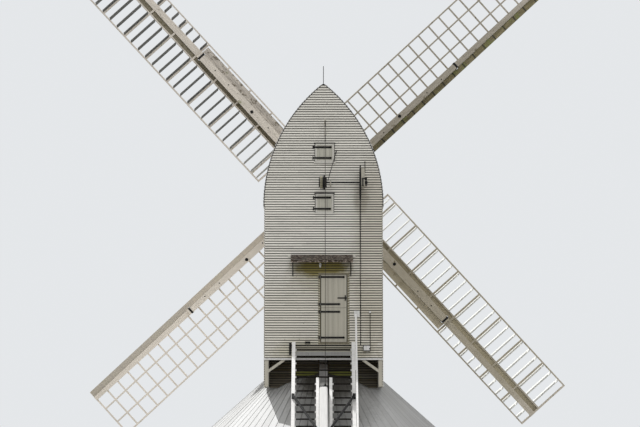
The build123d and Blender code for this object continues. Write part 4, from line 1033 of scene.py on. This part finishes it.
class MILL_OT_chains(bpy.types.Operator):
    """Hang the endless striking chain on its wheel and the rope in front of the door"""

    bl_idname = "mill.chains"
    bl_label = "Chain and rope"

    def execute(self, context):
        sizes = context.scene.mill_fittings
        wheel = CHAIN_WHEEL
        tilt = asin((CHAIN_WHEEL_R - CHAIN_FOOT_R) / (wheel.z - CHAIN_FOOT_Z))
        points = []
        for radius, z, first, sweep, count in ((CHAIN_WHEEL_R, wheel.z, pi + tilt, pi + 2 * tilt, 24),
                                               (CHAIN_FOOT_R, CHAIN_FOOT_Z, -tilt, pi - 2 * tilt, 12)):
            for step in range(count + 1):
                angle = first - step * sweep / count
                points.append(Vector((wheel.x, wheel.y + radius * cos(angle), z + radius * sin(angle))))
        edges = [(place, (place + 1) % len(points)) for place in range(len(points))]
        settle(new_mesh(points, edges), chain_tree,
               {"Pitch": sizes.link_pitch, "Wire Radius": sizes.link_wire},
               "striking_chain_links", "buck", "iron", "black_iron", "striking_chain")
        self.rope()
        return {"FINISHED"}

    def rope(self):
        """The rope that hangs from its arm, past the gear, to the tail pole."""
        low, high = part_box("front_rope")
        x = (low.x + high.x) / 2
        top = Vector((x, high.y - 0.008, high.z))
        foot = Vector((x, low.y + 0.009, low.z + 0.002))
        curve = bpy.data.curves.new("front_rope_line", "CURVE")
        curve.dimensions = "3D"
        curve.bevel_depth = ROPE_R
        curve.bevel_resolution = 3
        curve.use_fill_caps = True
        spline = curve.splines.new("NURBS")
        spline.points.add(2)
        for point, place in zip(spline.points, (top, (top + foot) / 2, foot)):
            point.co = (*place, 1)
        spline.order_u = 3
        spline.use_endpoint_u = True
        curve.materials.append(paint("dark_rope"))
        rope = new_object("front_rope_line", curve)
        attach(rope, "buck")
        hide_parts("front_rope")
        iron = Blocks()
        for share in (0.003, 0.011, 0.02, 0.059, 0.068, 0.077):
            middle = top + (foot - top) * share
            iron.rod(middle + Vector((0, 0, 0.024)), middle - Vector((0, 0, 0.024)), 0.016, 0.012)
        iron.rod(foot + Vector((0, 0, 0.05)), foot - Vector((0, 0, 0.004)), 0.02, 0.03)
        iron.done("rope_irons", "buck")


# Bolts of the sails and fittings of the ladder

def sail_matrix(turn):
    """The frame of one sail: x out along its whip, y to its trailing side, z back towards the buck."""
    angle = SAIL_ANGLE + radians(turn)
    out = Vector((cos(angle), -sin(SHAFT_TILT) * sin(angle), cos(SHAFT_TILT) * sin(angle)))
    back = Vector((0, -cos(SHAFT_TILT), -sin(SHAFT_TILT)))
    matrix = Matrix((out, back.cross(out), back)).transposed().to_4x4()
    matrix.translation = HUB
    return matrix


def stock_share(radius):
    """How much of a stock's depth is left at a radius."""
    return 1 - 0.2 * (radius - STOCK_HEEL_R) / (STOCK_TIP_R - STOCK_HEEL_R)


class MILL_OT_sail_fittings(bpy.types.Operator):
    """Put the bolts through stocks, whips and straps"""

    bl_idname = "mill.sail_fittings"
    bl_label = "Sail fittings"

    def execute(self, context):
        sizes = context.scene.mill_fittings
        for name, radii, lift, share in (("stock_bolts", (0.9, 1.8, 2.5, 4.3, 4.9), 0.002, 0.6),
                                         ("clamp_bolts", (3.2,), 0.004, 1.6)):
            places = []
            aims = []
            for turn in (0, 180, 90, -90):
                level = STOCK_LEVEL if turn % 180 == 0 else -STOCK_LEVEL
                matrix = sail_matrix(turn)
                for radius in radii:
                    behind = level - STOCK_DEPTH / 2 + STOCK_DEPTH * stock_share(radius)
                    places.append(matrix @ Vector((radius, 0.02 * (-1) ** int(radius * 10), behind + lift)))
                    aims.append(matrix.to_3x3() @ Vector((0, 0, 1)))
            settle(points_mesh(places, aims), bolt_tree, {"Radius": sizes.bolt_radius * share},
                   name, "sails", "iron", "black_iron")
        return {"FINISHED"}


class MILL_OT_ladder_fittings(bpy.types.Operator):
    """Put the painted cleats under the ends of the treads and the iron band on the tail pole"""

    bl_idname = "mill.ladder_fittings"
    bl_label = "Ladder fittings"

    def execute(self, context):
        cleats = Blocks(0.003)
        wide = 0.034
        for step in range(int(TREAD_TOP // TREAD_RISE) + 1):
            top = TREAD_TOP - step * TREAD_RISE
            middle = LADDER_HEAD_Y + (top - TREAD_THICK / 2 - LADDER_HEAD_Z) / tan(LADDER_SLOPE)
            near = middle - TREAD_DEPTH / 2
            ends = [-LADDER_INNER, LADDER_INNER - wide]
            if POLE_GAP_FOOT <= top and top - TREAD_THICK < POLE_GAP_TOP:
                ends += [POLE_GAP_LEFT - wide, POLE_GAP_RIGHT]
            for left in ends:
                cleats.box((left, near - 0.005, top - 0.05), (left + wide, near + 0.05, top + 0.003))
        cleats.done("tread_cleats", "ladder", "white_timber", "white_timber")
        band = Blocks(0.002)
        along = Vector((0, cos(POLE_SLOPE), sin(POLE_SLOPE)))
        up = Vector((0, -sin(POLE_SLOPE), cos(POLE_SLOPE)))
        for y in POLE_BANDS:
            middle = Vector((0, y, POLE_HEAD_Z + (y - POLE_HEAD_Y) * tan(POLE_SLOPE)))
            for side in (-1, 1):
                for shift, width, height in ((Vector((side * 0.117, 0, 0)), 0.008, 0.266),
                                             (up * (side * 0.129), 0.242, 0.008)):
                    edge = middle + shift
                    band.beam(edge - along * 0.03, edge + along * 0.03, width, height)
        band.done("pole_bands", "buck")
        stays = Blocks(0.002)
        for side in (-1, 1):
            top = Vector((side * 0.8155, -4.016, 3.475))
            foot = Vector((side * 0.172, -6.3, 2.558))
            stays.rod(top, top + (foot - top) * 0.96, 0.034)
        stays.done("stay_tubes", "ladder")
        return {"FINISHED"}


# Finishes

def full(colour, share=1.0):
    """A colour with its alpha, made darker or lighter by share."""
    return (*(min(1.0, part * share) for part in colour), 1.0)


def toned(colour, *shares):
    """A colour made darker or lighter, by one share or by one for each of its parts."""
    return [part * share for part, share in zip(colour, shares * 3 if len(shares) == 1 else shares)]


@once("Timber grain", {"Vector": (0.0, 0.0, 0.0), "Across": 26.0}, ["Grain", "Fine"])
def grain_group(tree, start):
    """Long fibres and fine pores that follow a vector's x direction."""
    stretch = joined(tree, 1.2, start["Across"], start["Across"])
    scaled = vector_math(tree, "MULTIPLY", start["Vector"], stretch)
    return noise(tree, scaled, 1.0, 5.0, 0.62, 0.4), noise(tree, scaled, 5.0, 3.0, 0.6)


@once("Weathering", {"Vector": (0.0, 0.0, 0.0), "Wear": 0.2, "Grime": 0.3, "Growth": 0.1},
      ["Worn", "Grimy", "Grown"])
def weather_group(tree, start):
    """Masks for worn paint, grey grime and green growth over a surface."""
    masks = []
    for title, scale, soft in (("Wear", 7.0, 0.06), ("Grime", 1.7, 0.3), ("Growth", 2.9, 0.14)):
        level = ranged(tree, start[title], 0.0, 1.0, 0.72, 0.28)
        masks.append(soft_step(tree, noise(tree, start["Vector"], scale, 7.0, 0.68), level,
                               math(tree, "ADD", level, soft)))
    return masks


@once("Runs", {"Vector": (0.0, 0.0, 0.0), "Amount": 0.2}, ["Run"])
def runs_group(tree, start):
    """A mask of thin streaks that run straight down."""
    scaled = vector_math(tree, "MULTIPLY", start["Vector"], (14.0, 14.0, 0.55))
    level = ranged(tree, start["Amount"], 0.0, 1.0, 0.75, 0.35)
    return [soft_step(tree, noise(tree, scaled, 1.0, 4.0, 0.6), level, math(tree, "ADD", level, 0.16))]


@once("Patch", {"Vector": (0.0, 0.0, 0.0), "Centre": (0.0, 0.0, 0.0), "Reach": (1.0, 1.0, 1.0)}, ["Mask"])
def patch_group(tree, start):
    """A soft-edged mask round one place."""
    away = vector_math(tree, "SUBTRACT", start["Vector"], start["Centre"])
    far = vector_math(tree, "LENGTH", vector_math(tree, "DIVIDE", away, start["Reach"])).outputs["Value"]
    ragged = times(tree, math(tree, "SUBTRACT", noise(tree, start["Vector"], 9.0, 6.0, 0.7), 0.5), 0.6)
    return [soft_step(tree, math(tree, "ADD", far, ragged), 1.0, 0.45)]


def new_material(name):
    material = bpy.data.materials.new(name)
    material.use_nodes = True
    tree = material.node_tree
    tree.nodes.clear()
    shader = node(tree, "ShaderNodeBsdfPrincipled")
    node(tree, "ShaderNodeOutputMaterial", {0: shader})
    return material, tree, shader


def surface(tree, wear, grime, growth):
    """A surface's place, and its masks of wear, grime and growth."""
    place = node(tree, "ShaderNodeTexCoord").outputs["Object"]
    return place, grouped(tree, weather_group, Vector=place, Wear=wear, Grime=grime, Growth=growth).outputs


def dress(tree, shader, colour, rough, height, strength, distance, invert=False):
    """Join a finish's colour, roughness and relief to its shader."""
    relief = node(tree, "ShaderNodeBump", {"Height": height, "Strength": strength, "Distance": distance},
                  invert=invert)
    feed(tree, shader, {"Base Color": colour, "Roughness": rough, "Normal": relief})


def board_tints(tree):
    return node(tree, "ShaderNodeAttribute", attribute_name="tint").outputs["Fac"]


def coat(tree, colour, mask, share, above, amount=1.0):
    """Lay another colour, made darker or lighter by amount, over a colour by a share of a mask."""
    return mix(tree, times(tree, mask, share), colour, full(above, amount))


def timber(name, base, colours, mapped=False, turn=(0, 0, 0), wear=0.1, grime=0.3, growth=0.1, run=0.1,
           contrast=0.25, tint=0.0, across=26.0, rough=0.7, shine=0.25, bump=0.25, speckle=None,
           trailing_growth_and_shade=None, joints=None, stains_and_painted_light=(), lap_grime_and_shade=0.0, lap_edge=(0.52, 0.63), lap_share=0.8):
    """Painted or bare timber: grain, tints from board to board, worn paint, grime, growth and runs, and
    patches of painted shade or painted light where a recipe gives them.

    The trailing colour goes on the trailing side of a sail, partly green growth and partly painted shade;
    joints are the first place, pitch and width of dark lines across it; and the lap setting is how high a
    board shows, with its upper edge from lap_edge on painted dark, partly grime in the lap and partly
    painted shade under the next board's butt (on the roundhouse roof it is the dark joint beside each
    board).
    """
    material, tree, shader = new_material(name)
    place, masks = surface(tree, wear, grime, growth)
    tints = board_tints(tree)
    if mapped:
        parts = split(tree, node(tree, "ShaderNodeUVMap", uv_map="grain"))
        fibre = joined(tree, parts[0], parts[1], times(tree, tints, 60.0))
    else:
        fibre = node(tree, "ShaderNodeMapping", {"Vector": place, "Rotation": turn})
    grain, fine = grouped(tree, grain_group, Vector=fibre, Across=across).outputs
    runs = grouped(tree, runs_group, Vector=place, Amount=run)
    colour = mix(tree, ranged(tree, grain, 0.35, 0.65), full(base, 1.0 - contrast),
                 full(base, 1.0 + contrast * 0.35))
    if tint:
        colour = coat(tree, colour, tints, tint, colours.grime, 2.2)
    colour = coat(tree, colour, masks["Grimy"], 0.4, colours.grime, 1.6)
    colour = coat(tree, colour, runs, 0.5, colours.grime)
    worn = ranged(tree, times(tree, masks["Worn"], fine), 0.25, 0.45)
    colour = mix(tree, worn, colour, full(colours.bare_wood))
    colour = coat(tree, colour, masks["Grown"], 0.75, colours.algae)
    if speckle:
        spots = ranged(tree, noise(tree, place, 17.0, 3.0, 0.6), 0.49, 0.58)
        colour = mix(tree, spots, colour, full(speckle))
    if trailing_growth_and_shade or joints:
        out = vector_math(tree, "SUBTRACT", place, tuple(HUB))
        along = split(tree, node(tree, "ShaderNodeMapping", {"Vector": out, "Rotation": turn}))
    # Darker colour on the trailing side of a sail: partly green growth, partly painted shade on that side.
    if trailing_growth_and_shade:
        behind = math(tree, "GREATER_THAN", times(tree, along[0], along[2]), 0.0)
        colour = coat(tree, colour, behind, 0.75, trailing_growth_and_shade)
    if joints:
        first, pitch, width = joints
        step = math(tree, "SUBTRACT", math(tree, "ABSOLUTE", along[0]), first - width / 2)
        line = math(tree, "LESS_THAN", math(tree, "FLOORED_MODULO", step, pitch), width)
        colour = coat(tree, colour, line, 0.8, colours.grime, 0.3)
    # Patches from the recipe: real stains, and patches of painted shade or painted light.
    for centre, reach, share, stained, in_runs in stains_and_painted_light:
        strength = times(tree, grouped(tree, patch_group, Vector=place, Centre=centre, Reach=reach), share)
        if in_runs:
            strength = times(tree, strength, runs)
        colour = mix(tree, strength, colour, full(stained))
    # Dark band at the top of each board's face: partly grime in the lap, partly painted shade cast by the
    # next board's butt.
    if lap_grime_and_shade:
        line = soft_step(tree, parts[1], lap_grime_and_shade * lap_edge[0], lap_grime_and_shade * lap_edge[1])
        broken = ranged(tree, grain, 0.3, 0.6, lap_share, min(1.0, lap_share * 1.25))
        colour = coat(tree, colour, line, broken, colours.grime, 0.16)
    height = math(tree, "SUBTRACT", math(tree, "ADD", fine, grain), worn)
    dress(tree, shader, colour, rough, height, bump, 0.004)
    feed(tree, shader, {"Specular IOR Level": shine})
    return material


def ironwork(name, base, colours, rust, rough):
    """Black iron with rust that gathers in patches and runs."""
    material, tree, shader = new_material(name)
    place, masks = surface(tree, rust, 0.5, rust * 0.6)
    fine = noise(tree, place, 140.0, 4.0, 0.7)
    colour = coat(tree, full(base), masks["Grimy"], 0.5, base, 2.4)
    colour = mix(tree, masks["Worn"], colour, full(colours.rust, 0.6))
    colour = coat(tree, colour, masks["Grown"], fine, colours.rust, 1.4)
    dress(tree, shader, colour, ranged(tree, masks["Worn"], 0.0, 1.0, rough, 0.9), fine, 0.35, 0.002)
    feed(tree, shader, {"Specular IOR Level": 0.12})
    return material


def masonry(name, base, colours, worn_colour, flake=0.3, tint=0.3):
    """Brick or mortar, plain or under limewash that has flaked."""
    material, tree, shader = new_material(name)
    place, masks = surface(tree, flake, 0.4, 0.2)
    pores = noise(tree, place, 55.0, 6.0, 0.75)
    height = split(tree, place)[2]
    colour = mix(tree, pores, full(base, 0.8), full(base, 1.12))
    for mask, share, above, amount in (
            (board_tints(tree), tint, worn_colour, 1.3), (masks["Worn"], 0.8, worn_colour, 1.0),
            (masks["Grimy"], 0.4, colours.grime, 1.5),
            (grouped(tree, runs_group, Vector=place, Amount=0.2), 0.35, colours.grime, 1.0),
            (masks["Grown"], ranged(tree, height, 0.7, 0.0), colours.algae, 1.0)):
        colour = coat(tree, colour, mask, share, above, amount)
    dress(tree, shader, colour, 0.88, pores, 0.5, 0.003)
    return material


def paving(name, colours):
    """Brick paving laid in rows on the roundhouse floor."""
    material, tree, shader = new_material(name)
    place = node(tree, "ShaderNodeTexCoord").outputs["Object"]
    bricks = node(tree, "ShaderNodeTexBrick",
                  {"Vector": place, "Color1": full(colours.paving), "Color2": full(colours.paving, 0.7),
                   "Mortar": full(colours.grime, 1.8), "Scale": 1.0, "Mortar Size": 0.006,
                   "Brick Width": 0.225, "Row Height": 0.11}).outputs
    colour = coat(tree, bricks["Color"], noise(tree, place, 6.0, 6.0, 0.7), 0.5, colours.bare_wood, 1.6)
    dress(tree, shader, colour, 0.9, bricks["Fac"], 0.5, 0.004, invert=True)
    return material


# Directions in which the grain runs
UPRIGHT = (0, radians(90), 0)
ALONG_Y = (0, 0, radians(90))
ALONG_COMMON = (0, SAIL_ANGLE, 0)
ALONG_SPRING = (0, SAIL_ANGLE + radians(90), 0)


def tail_stains_and_shade(colours):
    """Where the tail wall is stained or painted with the shade under the hood: centre, reach, share, colour,
    and whether it is broken into runs.
    """
    moss = toned(colours.algae, 1.55, 1.2, 0.75)
    mould_and_hood_shade = (0.25, 0.205, 0.045)
    dirt = toned(colours.grime, 1.5)
    door_x = DOOR[0] + DOOR[2] / 2
    return [((x, TAIL_Y, z), reach, share, stained, in_runs) for x, z, reach, share, stained, in_runs in (
        # Dark olive under the hood: partly mould, partly painted shade of the hood.
        (HOOD[0], 7.05, (1.02, 0.5, 0.4), 0.95, mould_and_hood_shade, False),
        (HOOD[0], 6.8, (1.15, 0.5, 0.6), 0.25, mould_and_hood_shade, False),
        (0.75, 6.75, (0.28, 0.5, 0.5), 0.9, toned(colours.rust, 1.2), True),
        (1.04, 8.95, (0.26, 0.7, 0.5), 0.3, (0.18, 0.12, 0.05), False),
        (1.1, 8.5, (0.35, 0.7, 1.2), 0.6, (0.2, 0.15, 0.07), True),
        (1.5, 7.3, (0.9, 0.9, 3.6), 0.34, (0.36, 0.3, 0.18), False),
        (0.0, 5.6, (2.6, 0.9, 1.7), 0.2, (0.42, 0.37, 0.22), False),
        (-0.55, 6.2, (0.5, 0.7, 0.6), 0.3, (0.22, 0.18, 0.1), True),
        (door_x + 0.55, 5.6, (0.45, 0.5, 1.0), 0.4, moss, True),
        (UPPER_HATCH[0], 9.7, (0.4, 0.5, 0.45), 0.7, dirt, True),
        (LOWER_HATCH[0], 8.3, (0.4, 0.5, 0.45), 0.7, dirt, True),
        (0.0, 4.7, (1.9, 0.5, 0.5), 0.3, moss, False))]


def sail_stain_and_light(x, z, reach, share, stained, in_runs=False):
    """A stain, or a patch of painted light or shade, on the sails, placed from the hub."""
    return ((x, HUB.y, HUB.z + z), (reach, 3.0, reach), share, stained, in_runs)


def recipes(colours):
    """How each timber finish is made."""
    lap = bpy.context.scene.mill_boards.exposure
    roof_lap = bpy.context.scene.mill_boards.roof_exposure
    board = colours.board_paint
    roof = colours.roof_paint
    white = colours.timber_paint
    sail = colours.sail_paint
    moss = toned(colours.algae, 1.5, 1.4, 0.9)
    # Lighter yellow-green on the skirt's lowest boards: partly green growth, partly painted light where the
    # shade under the buck is less deep.
    foot_growth_and_painted_light = [((x, SKIRT_Y, 4.17), (0.5, 0.4, 0.12), 0.8, moss, False) for x in (-0.5, 0.5)]
    # Painted shade on the roundhouse roof under the buck's tail: dark brown next to the skirt, greyer
    # further out.
    house_roof_painted_shade = [((0.15, -2.0, 3.95), (1.25, 1.2, 0.8), 0.9, (0.055, 0.048, 0.032), False),
                   ((0.35, -2.6, 3.4), (1.7, 1.8, 1.3), 0.5, (0.17, 0.165, 0.15), False)]
    bare_heel = sail_stain_and_light(0, 0, 3.6, 0.5, colours.bare_wood, True)
    heel_stains = [bare_heel, sail_stain_and_light(4.2, -4.2, 5.5, 0.55, (0.25, 0.215, 0.12))]
    # Bare wood at the heels, and a pale patch of painted light on the lower-right sail's leading board.
    board_wear_and_painted_light = [bare_heel, sail_stain_and_light(4.2, -4.2, 5.6, 0.7, (0.52, 0.46, 0.32))]
    upper_shade = [sail_stain_and_light(-4.6, 4.2, 5.8, 0.85, (0.1, 0.098, 0.09))]
    common_stains = [sail_stain_and_light(3.4, 3.0, 5.0, 0.5, (0.13, 0.11, 0.07), True),
                     sail_stain_and_light(3.4, 3.0, 5.5, 0.45, (0.2, 0.175, 0.11)),
                     sail_stain_and_light(-4.2, -3.7, 7.0, 0.85, toned(sail, 1.12))]
    pale_foot = [sail_stain_and_light(-4.2, -3.7, 7.0, 0.75, toned(sail, 0.84))]
    return {
        # The weatherboards' dark lap band is partly grime and partly painted shade under each butt.
        "weatherboard": dict(base=board, mapped=True, wear=0.14, grime=0.36, growth=0.06, run=0.2,
                             lap_grime_and_shade=lap, contrast=0.1, tint=0.2, across=60, stains_and_painted_light=tail_stains_and_shade(colours)),
        # The skirt boards' dark brown base is partly their dark stain and partly painted shade of the buck
        # above them.
        "skirt_board": dict(base=(0.085, 0.066, 0.03), mapped=True, grime=0.5, growth=0.3, run=0.4,
                            lap_grime_and_shade=lap, tint=0.4, stains_and_painted_light=foot_growth_and_painted_light),
        "roof_board": dict(base=roof, mapped=True, wear=0.2, grime=0.45, growth=0.15, run=0.2,
                           lap_grime_and_shade=roof_lap, contrast=0.12, tint=0.3),
        "house_roof_board": dict(base=toned(roof, 0.92), mapped=True, grime=0.28, growth=0.06, run=0.05,
                                 contrast=0.08, tint=0.2, across=40, lap_grime_and_shade=HOUSE_BOARD_MAP,
                                 lap_edge=(0.92, 0.97), lap_share=0.22, stains_and_painted_light=house_roof_painted_shade),
        "door_board": dict(base=toned(board, 0.55, 0.535, 0.485), mapped=True, growth=0.06, run=0.2,
                           contrast=0.1, tint=0.35),
        "hatch_board": dict(base=toned(board, 0.6, 0.6, 0.56), mapped=True, wear=0.12, grime=0.4,
                            growth=0.06, run=0.3, tint=0.3),
        "door_leaf": dict(base=toned(board, 0.2), turn=UPRIGHT, wear=0.15, grime=0.4),
        "hood_trim": dict(base=toned(board, 0.7), wear=0.3, grime=0.35, growth=0.35),
        "shingle": dict(base=colours.shingle, mapped=True, wear=0.2, growth=0.3, contrast=0.85, tint=0.6,
                        across=34, bump=0.8, rough=0.9, speckle=(0.3, 0.25, 0.21)),
        "wall_back": dict(base=toned(board, 0.35), wear=0.3, grime=0.6),
        "roof_edge": dict(base=(0.05, 0.045, 0.038), turn=ALONG_Y, wear=0.3, grime=0.5, growth=0.2),
        "white_timber": dict(base=white, turn=UPRIGHT, wear=0.16, growth=0.14, run=0.15, contrast=0.1),
        "post_paint": dict(base=toned(white, 0.7, 0.67, 0.58), turn=UPRIGHT, wear=0.25, grime=0.4,
                           growth=0.25, run=0.3, contrast=0.15),
        # A brighter copy of the white timber paint for the ladder strings and handrail: painted light,
        # standing in for the sun on them.
        "string_paint": dict(base=toned(white, 1.28), turn=(LADDER_SLOPE, 0, 0), wear=0.14, grime=0.22,
                             growth=0.08, contrast=0.1),
        "pole_paint": dict(base=toned(white, 0.84), turn=(-POLE_SLOPE, 0, radians(90)), wear=0.12,
                           grime=0.25, growth=0.06, contrast=0.08),
        # The door frame is painted dark so that its visible edges read as painted shade of the gap round the
        # door and of the laps beside it.
        "door_frame_paint": dict(base=toned(board, 0.24, 0.225, 0.17), turn=UPRIGHT, wear=0.12, grime=0.35),
        "hatch_frame": dict(base=toned(board, 0.72), turn=UPRIGHT, wear=0.12, grime=0.35, run=0.2,
                            contrast=0.1),
        "oak": dict(base=colours.oak, turn=UPRIGHT, wear=0.0, grime=0.35, growth=0.0, contrast=0.5, bump=0.6,
                    rough=0.8),
        "oak_level": dict(base=colours.oak, turn=ALONG_Y, wear=0.0, grime=0.35, growth=0.0, contrast=0.5,
                          bump=0.6, rough=0.8),
        "gear_wood": dict(base=(0.26, 0.24, 0.17), wear=0.2, grime=0.4, growth=0.15, contrast=0.5, bump=0.6,
                          rough=0.8),
        "floor_board": dict(base=toned(colours.oak, 1.3), turn=ALONG_Y, grime=0.4, growth=0.0, contrast=0.4,
                            rough=0.75),
        # Near-black treads: partly dark weathered wood, partly painted shade on their front edges and
        # undersides.
        "tread": dict(base=toned(colours.tread, 0.6), wear=0.0, contrast=0.5, bump=0.6, rough=0.9,
                      shine=0.05),
        "common_sail_timber": dict(base=toned(sail, 0.82), turn=ALONG_COMMON, wear=0.3, grime=0.45,
                                   growth=0.34, stains_and_painted_light=common_stains),
        "spring_sail_timber": dict(base=sail, turn=ALONG_SPRING, wear=0.26, grime=0.4, growth=0.26,
                                   contrast=0.15, stains_and_painted_light=heel_stains),
        "common_board": dict(base=(0.24, 0.205, 0.115), turn=ALONG_COMMON, wear=0.3, grime=0.45, growth=0.5,
                             run=0.2, contrast=0.4, bump=0.5, joints=(1.5, 0.4205, 0.05), stains_and_painted_light=pale_foot),
        "spring_board": dict(base=toned(sail, 0.85), turn=ALONG_SPRING, wear=0.42, grime=0.45, growth=0.25,
                             run=0.2, contrast=0.35, bump=0.5, stains_and_painted_light=board_wear_and_painted_light,
                             trailing_growth_and_shade=(0.13, 0.11, 0.055)),
        "shutter": dict(base=colours.shutter_paint, turn=ALONG_COMMON, grime=0.25, contrast=0.06,
                        stains_and_painted_light=upper_shade),
    }


def other_recipes(colours):
    """How each finish that isn't timber is made."""
    lime = colours.limewash
    return {
        "black_iron": (ironwork, dict(base=toned(colours.iron, 0.5), rust=0.12, rough=0.65)),
        "dark_rope": (ironwork, dict(base=(0.05, 0.045, 0.04), rust=0.1, rough=0.8)),
        "lamp_glass": (ironwork, dict(base=(0.55, 0.54, 0.5), rust=0.12, rough=0.25)),
        "limewashed_brick": (masonry, dict(base=lime, worn_colour=colours.brick, flake=0.16, tint=0.12)),
        "limewashed_joint": (masonry, dict(base=toned(lime, 0.8), worn_colour=toned(lime, 0.5))),
        "red_brick": (masonry, dict(base=colours.brick, worn_colour=lime, flake=0.1)),
        "paving": (paving, {}),
    }


def paint(name):
    """The finish of this name, made the first time that it is asked for."""
    title = "mill_" + name
    found = bpy.data.materials.get(title)
    if found:
        return found
    colours = bpy.context.scene.mill_colours
    timbers = recipes(colours)
    make, settings = (timber, timbers[name]) if name in timbers else other_recipes(colours)[name]
    return make(title, colours=colours, **settings)


NODE_FINISHES = {
    "limewashed_joint": ("roundhouse_wall_right", "roundhouse_wall_front", "roundhouse_wall_left",
                         "roundhouse_wall_tail"),
    "roof_edge": ("roundhouse_roof", "roof_left", "roof_right"),
    "paving": ("roundhouse_floor",),
    "door_leaf": ("roundhouse_door", "upper_door", "lower_door"),
    "hatch_frame": ("upper_hatch", "lower_hatch"),
    "red_brick": ("piers",),
    "oak": ("quarter_bars", "main_post"),
    "oak_level": ("cross_tree_lower", "cross_tree_upper", "sheers_and_girts", "crown_tree", "shaft_beams",
                  "windshaft"),
    "wall_back": ("tail_wall_sill", "tail_wall_left", "tail_wall_right", "tail_gable", "left_wall",
                  "right_wall", "breast_wall", "tail_skirt"),
    "post_paint": ("corner_posts", "tail_brackets"),
    "string_paint": ("ladder_strings", "handrail"),
    "pole_paint": ("tail_pole",),
    "door_frame_paint": ("door_frame",),
    "floor_board": ("spout_floor", "stone_floor", "bin_floor"),
    "shingle": ("porch_hood",),
    "black_iron": ("hood_brackets", "striking_gear", "striking_chain", "front_rope", "roof_rod",
                   "ladder_hanger", "ladder_stays", "poll_end", "stock_straps"),
    "tread": ("ladder_treads",),
    "common_sail_timber": ("common_stock", "common_sail_upper", "common_sail_lower"),
    "spring_sail_timber": ("spring_stock", "spring_sail_upper", "spring_sail_lower"),
    "common_board": ("common_boards",),
    "spring_board": ("spring_boards",),
    "shutter": ("spring_shutters",),
}


class MILL_OT_finishes(bpy.types.Operator):
    """Paint the CAD frame's own parts"""

    bl_idname = "mill.finishes"
    bl_label = "Finishes"

    def execute(self, context):
        for name, members in NODE_FINISHES.items():
            for member in members:
                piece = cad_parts[member]
                piece.data.materials.clear()
                piece.data.materials.append(paint(name))
        return {"FINISHED"}


class MILL_OT_stage(bpy.types.Operator):
    """Set the floor, the pale sky, the soft light and the camera"""

    bl_idname = "mill.stage"
    bl_label = "Stage"

    def execute(self, context):
        self.floor(context)
        self.sky(context)
        self.lamps(context)
        self.camera(context)
        context.scene.view_settings.view_transform = "Standard"
        return {"FINISHED"}

    def floor(self, context):
        reach = 260.0
        corners = [(-reach, -reach, 0), (reach, -reach, 0), (reach, reach, 0), (-reach, reach, 0)]
        mesh = new_mesh(corners, [], [(0, 1, 2, 3)])
        ground = new_object("ground", mesh)
        ground.location.z = -0.002
        material, tree, shader = new_material("pale_floor")
        feed(tree, shader, {"Base Color": (0.42, 0.42, 0.41, 1), "Roughness": 0.95})
        mesh.materials.append(material)

    def sky(self, context):
        """A dim sky that lights the scene, and a pale one that the camera, glass and polished things see."""
        world = bpy.data.worlds.new("sky")
        context.scene.world = world
        world.use_nodes = True
        tree = world.node_tree
        tree.nodes.clear()
        path = node(tree, "ShaderNodeLightPath").outputs
        seen = math(tree, "MAXIMUM", path["Is Camera Ray"], path["Is Glossy Ray"])
        seen = math(tree, "MAXIMUM", seen, path["Is Transmission Ray"])
        coordinates = node(tree, "ShaderNodeTexCoord").outputs["Generated"]
        strength = ranged(tree, split(tree, coordinates)[2], -0.1, 1.0, 0.36, 0.14)
        light = node(tree, "ShaderNodeBackground", {"Color": (0.97, 0.98, 1.0, 1), "Strength": strength})
        shown = node(tree, "ShaderNodeBackground", {"Color": (0.78, 0.8, 0.82, 1), "Strength": 1.0})
        both = node(tree, "ShaderNodeMixShader", {0: seen, 1: light, 2: shown})
        node(tree, "ShaderNodeOutputWorld", {0: both})

    def lamps(self, context):
        for name, towards, energy, spread in (("sun", (0.43, -0.29, -1.0), 3.8, 0.6),
                                              ("bright_cloud", (0.0, 0.86, -0.5), 1.15, 55.0)):
            data = bpy.data.lights.new(name, "SUN")
            data.energy = energy
            data.angle = radians(spread)
            lamp = new_object(name, data)
            lamp.rotation_euler = Vector(towards).to_track_quat("-Z", "Y").to_euler()

    def camera(self, context):
        data = bpy.data.cameras.new("camera")
        data.lens = 112.5
        data.sensor_width = 36
        data.clip_start = 0.5
        data.clip_end = 600
        camera = new_object("camera", data)
        camera.location = (-0.096, -57.6, 1.7)
        camera.rotation_euler = (radians(97.1), 0, 0)
        context.scene.camera = camera


class MILL_PT_panel(bpy.types.Panel):
    """The mill's pieces, in the sidebar"""

    bl_label = "Post Mill"
    bl_idname = "MILL_PT_panel"
    bl_space_type = "VIEW_3D"
    bl_region_type = "UI"
    bl_category = "Post Mill"

    def draw(self, context):
        for operator in PIECES:
            self.layout.operator(operator.bl_idname)
        for name, group in SETTINGS.items():
            self.layout.label(text=group.__doc__.split(",")[0])
            for item in group.__annotations__:
                self.layout.prop(getattr(context.scene, name), item)


SETTINGS = {"mill_boards": WeatherboardSizes, "mill_roundhouse": RoundhouseSizes,
            "mill_fittings": FittingSizes, "mill_colours": MillColours}
PIECES = (MILL_OT_stage, MILL_OT_finishes, MILL_OT_weatherboards, MILL_OT_roundhouse, MILL_OT_doors,
          MILL_OT_hood, MILL_OT_tail_fittings, MILL_OT_chains, MILL_OT_sail_fittings,
          MILL_OT_ladder_fittings)


def register():
    for group in (*SETTINGS.values(), *PIECES, MILL_PT_panel):
        bpy.utils.register_class(group)
    for name, group in SETTINGS.items():
        setattr(bpy.types.Scene, name, PointerProperty(type=group))


def unregister():
    for name in SETTINGS:
        delattr(bpy.types.Scene, name)
    for group in (MILL_PT_panel, *reversed(PIECES), *SETTINGS.values()):
        bpy.utils.unregister_class(group)


def main():
    """Build every piece in order."""
    register()
    bpy.ops.mill.stage()
    bpy.ops.mill.finishes()
    bpy.ops.mill.weatherboards()
    bpy.ops.mill.roundhouse()
    bpy.ops.mill.doors()
    bpy.ops.mill.hood()
    bpy.ops.mill.tail_fittings()
    bpy.ops.mill.chains()
    bpy.ops.mill.sail_fittings()
    bpy.ops.mill.ladder_fittings()


if __name__ == "__main__":
    main()
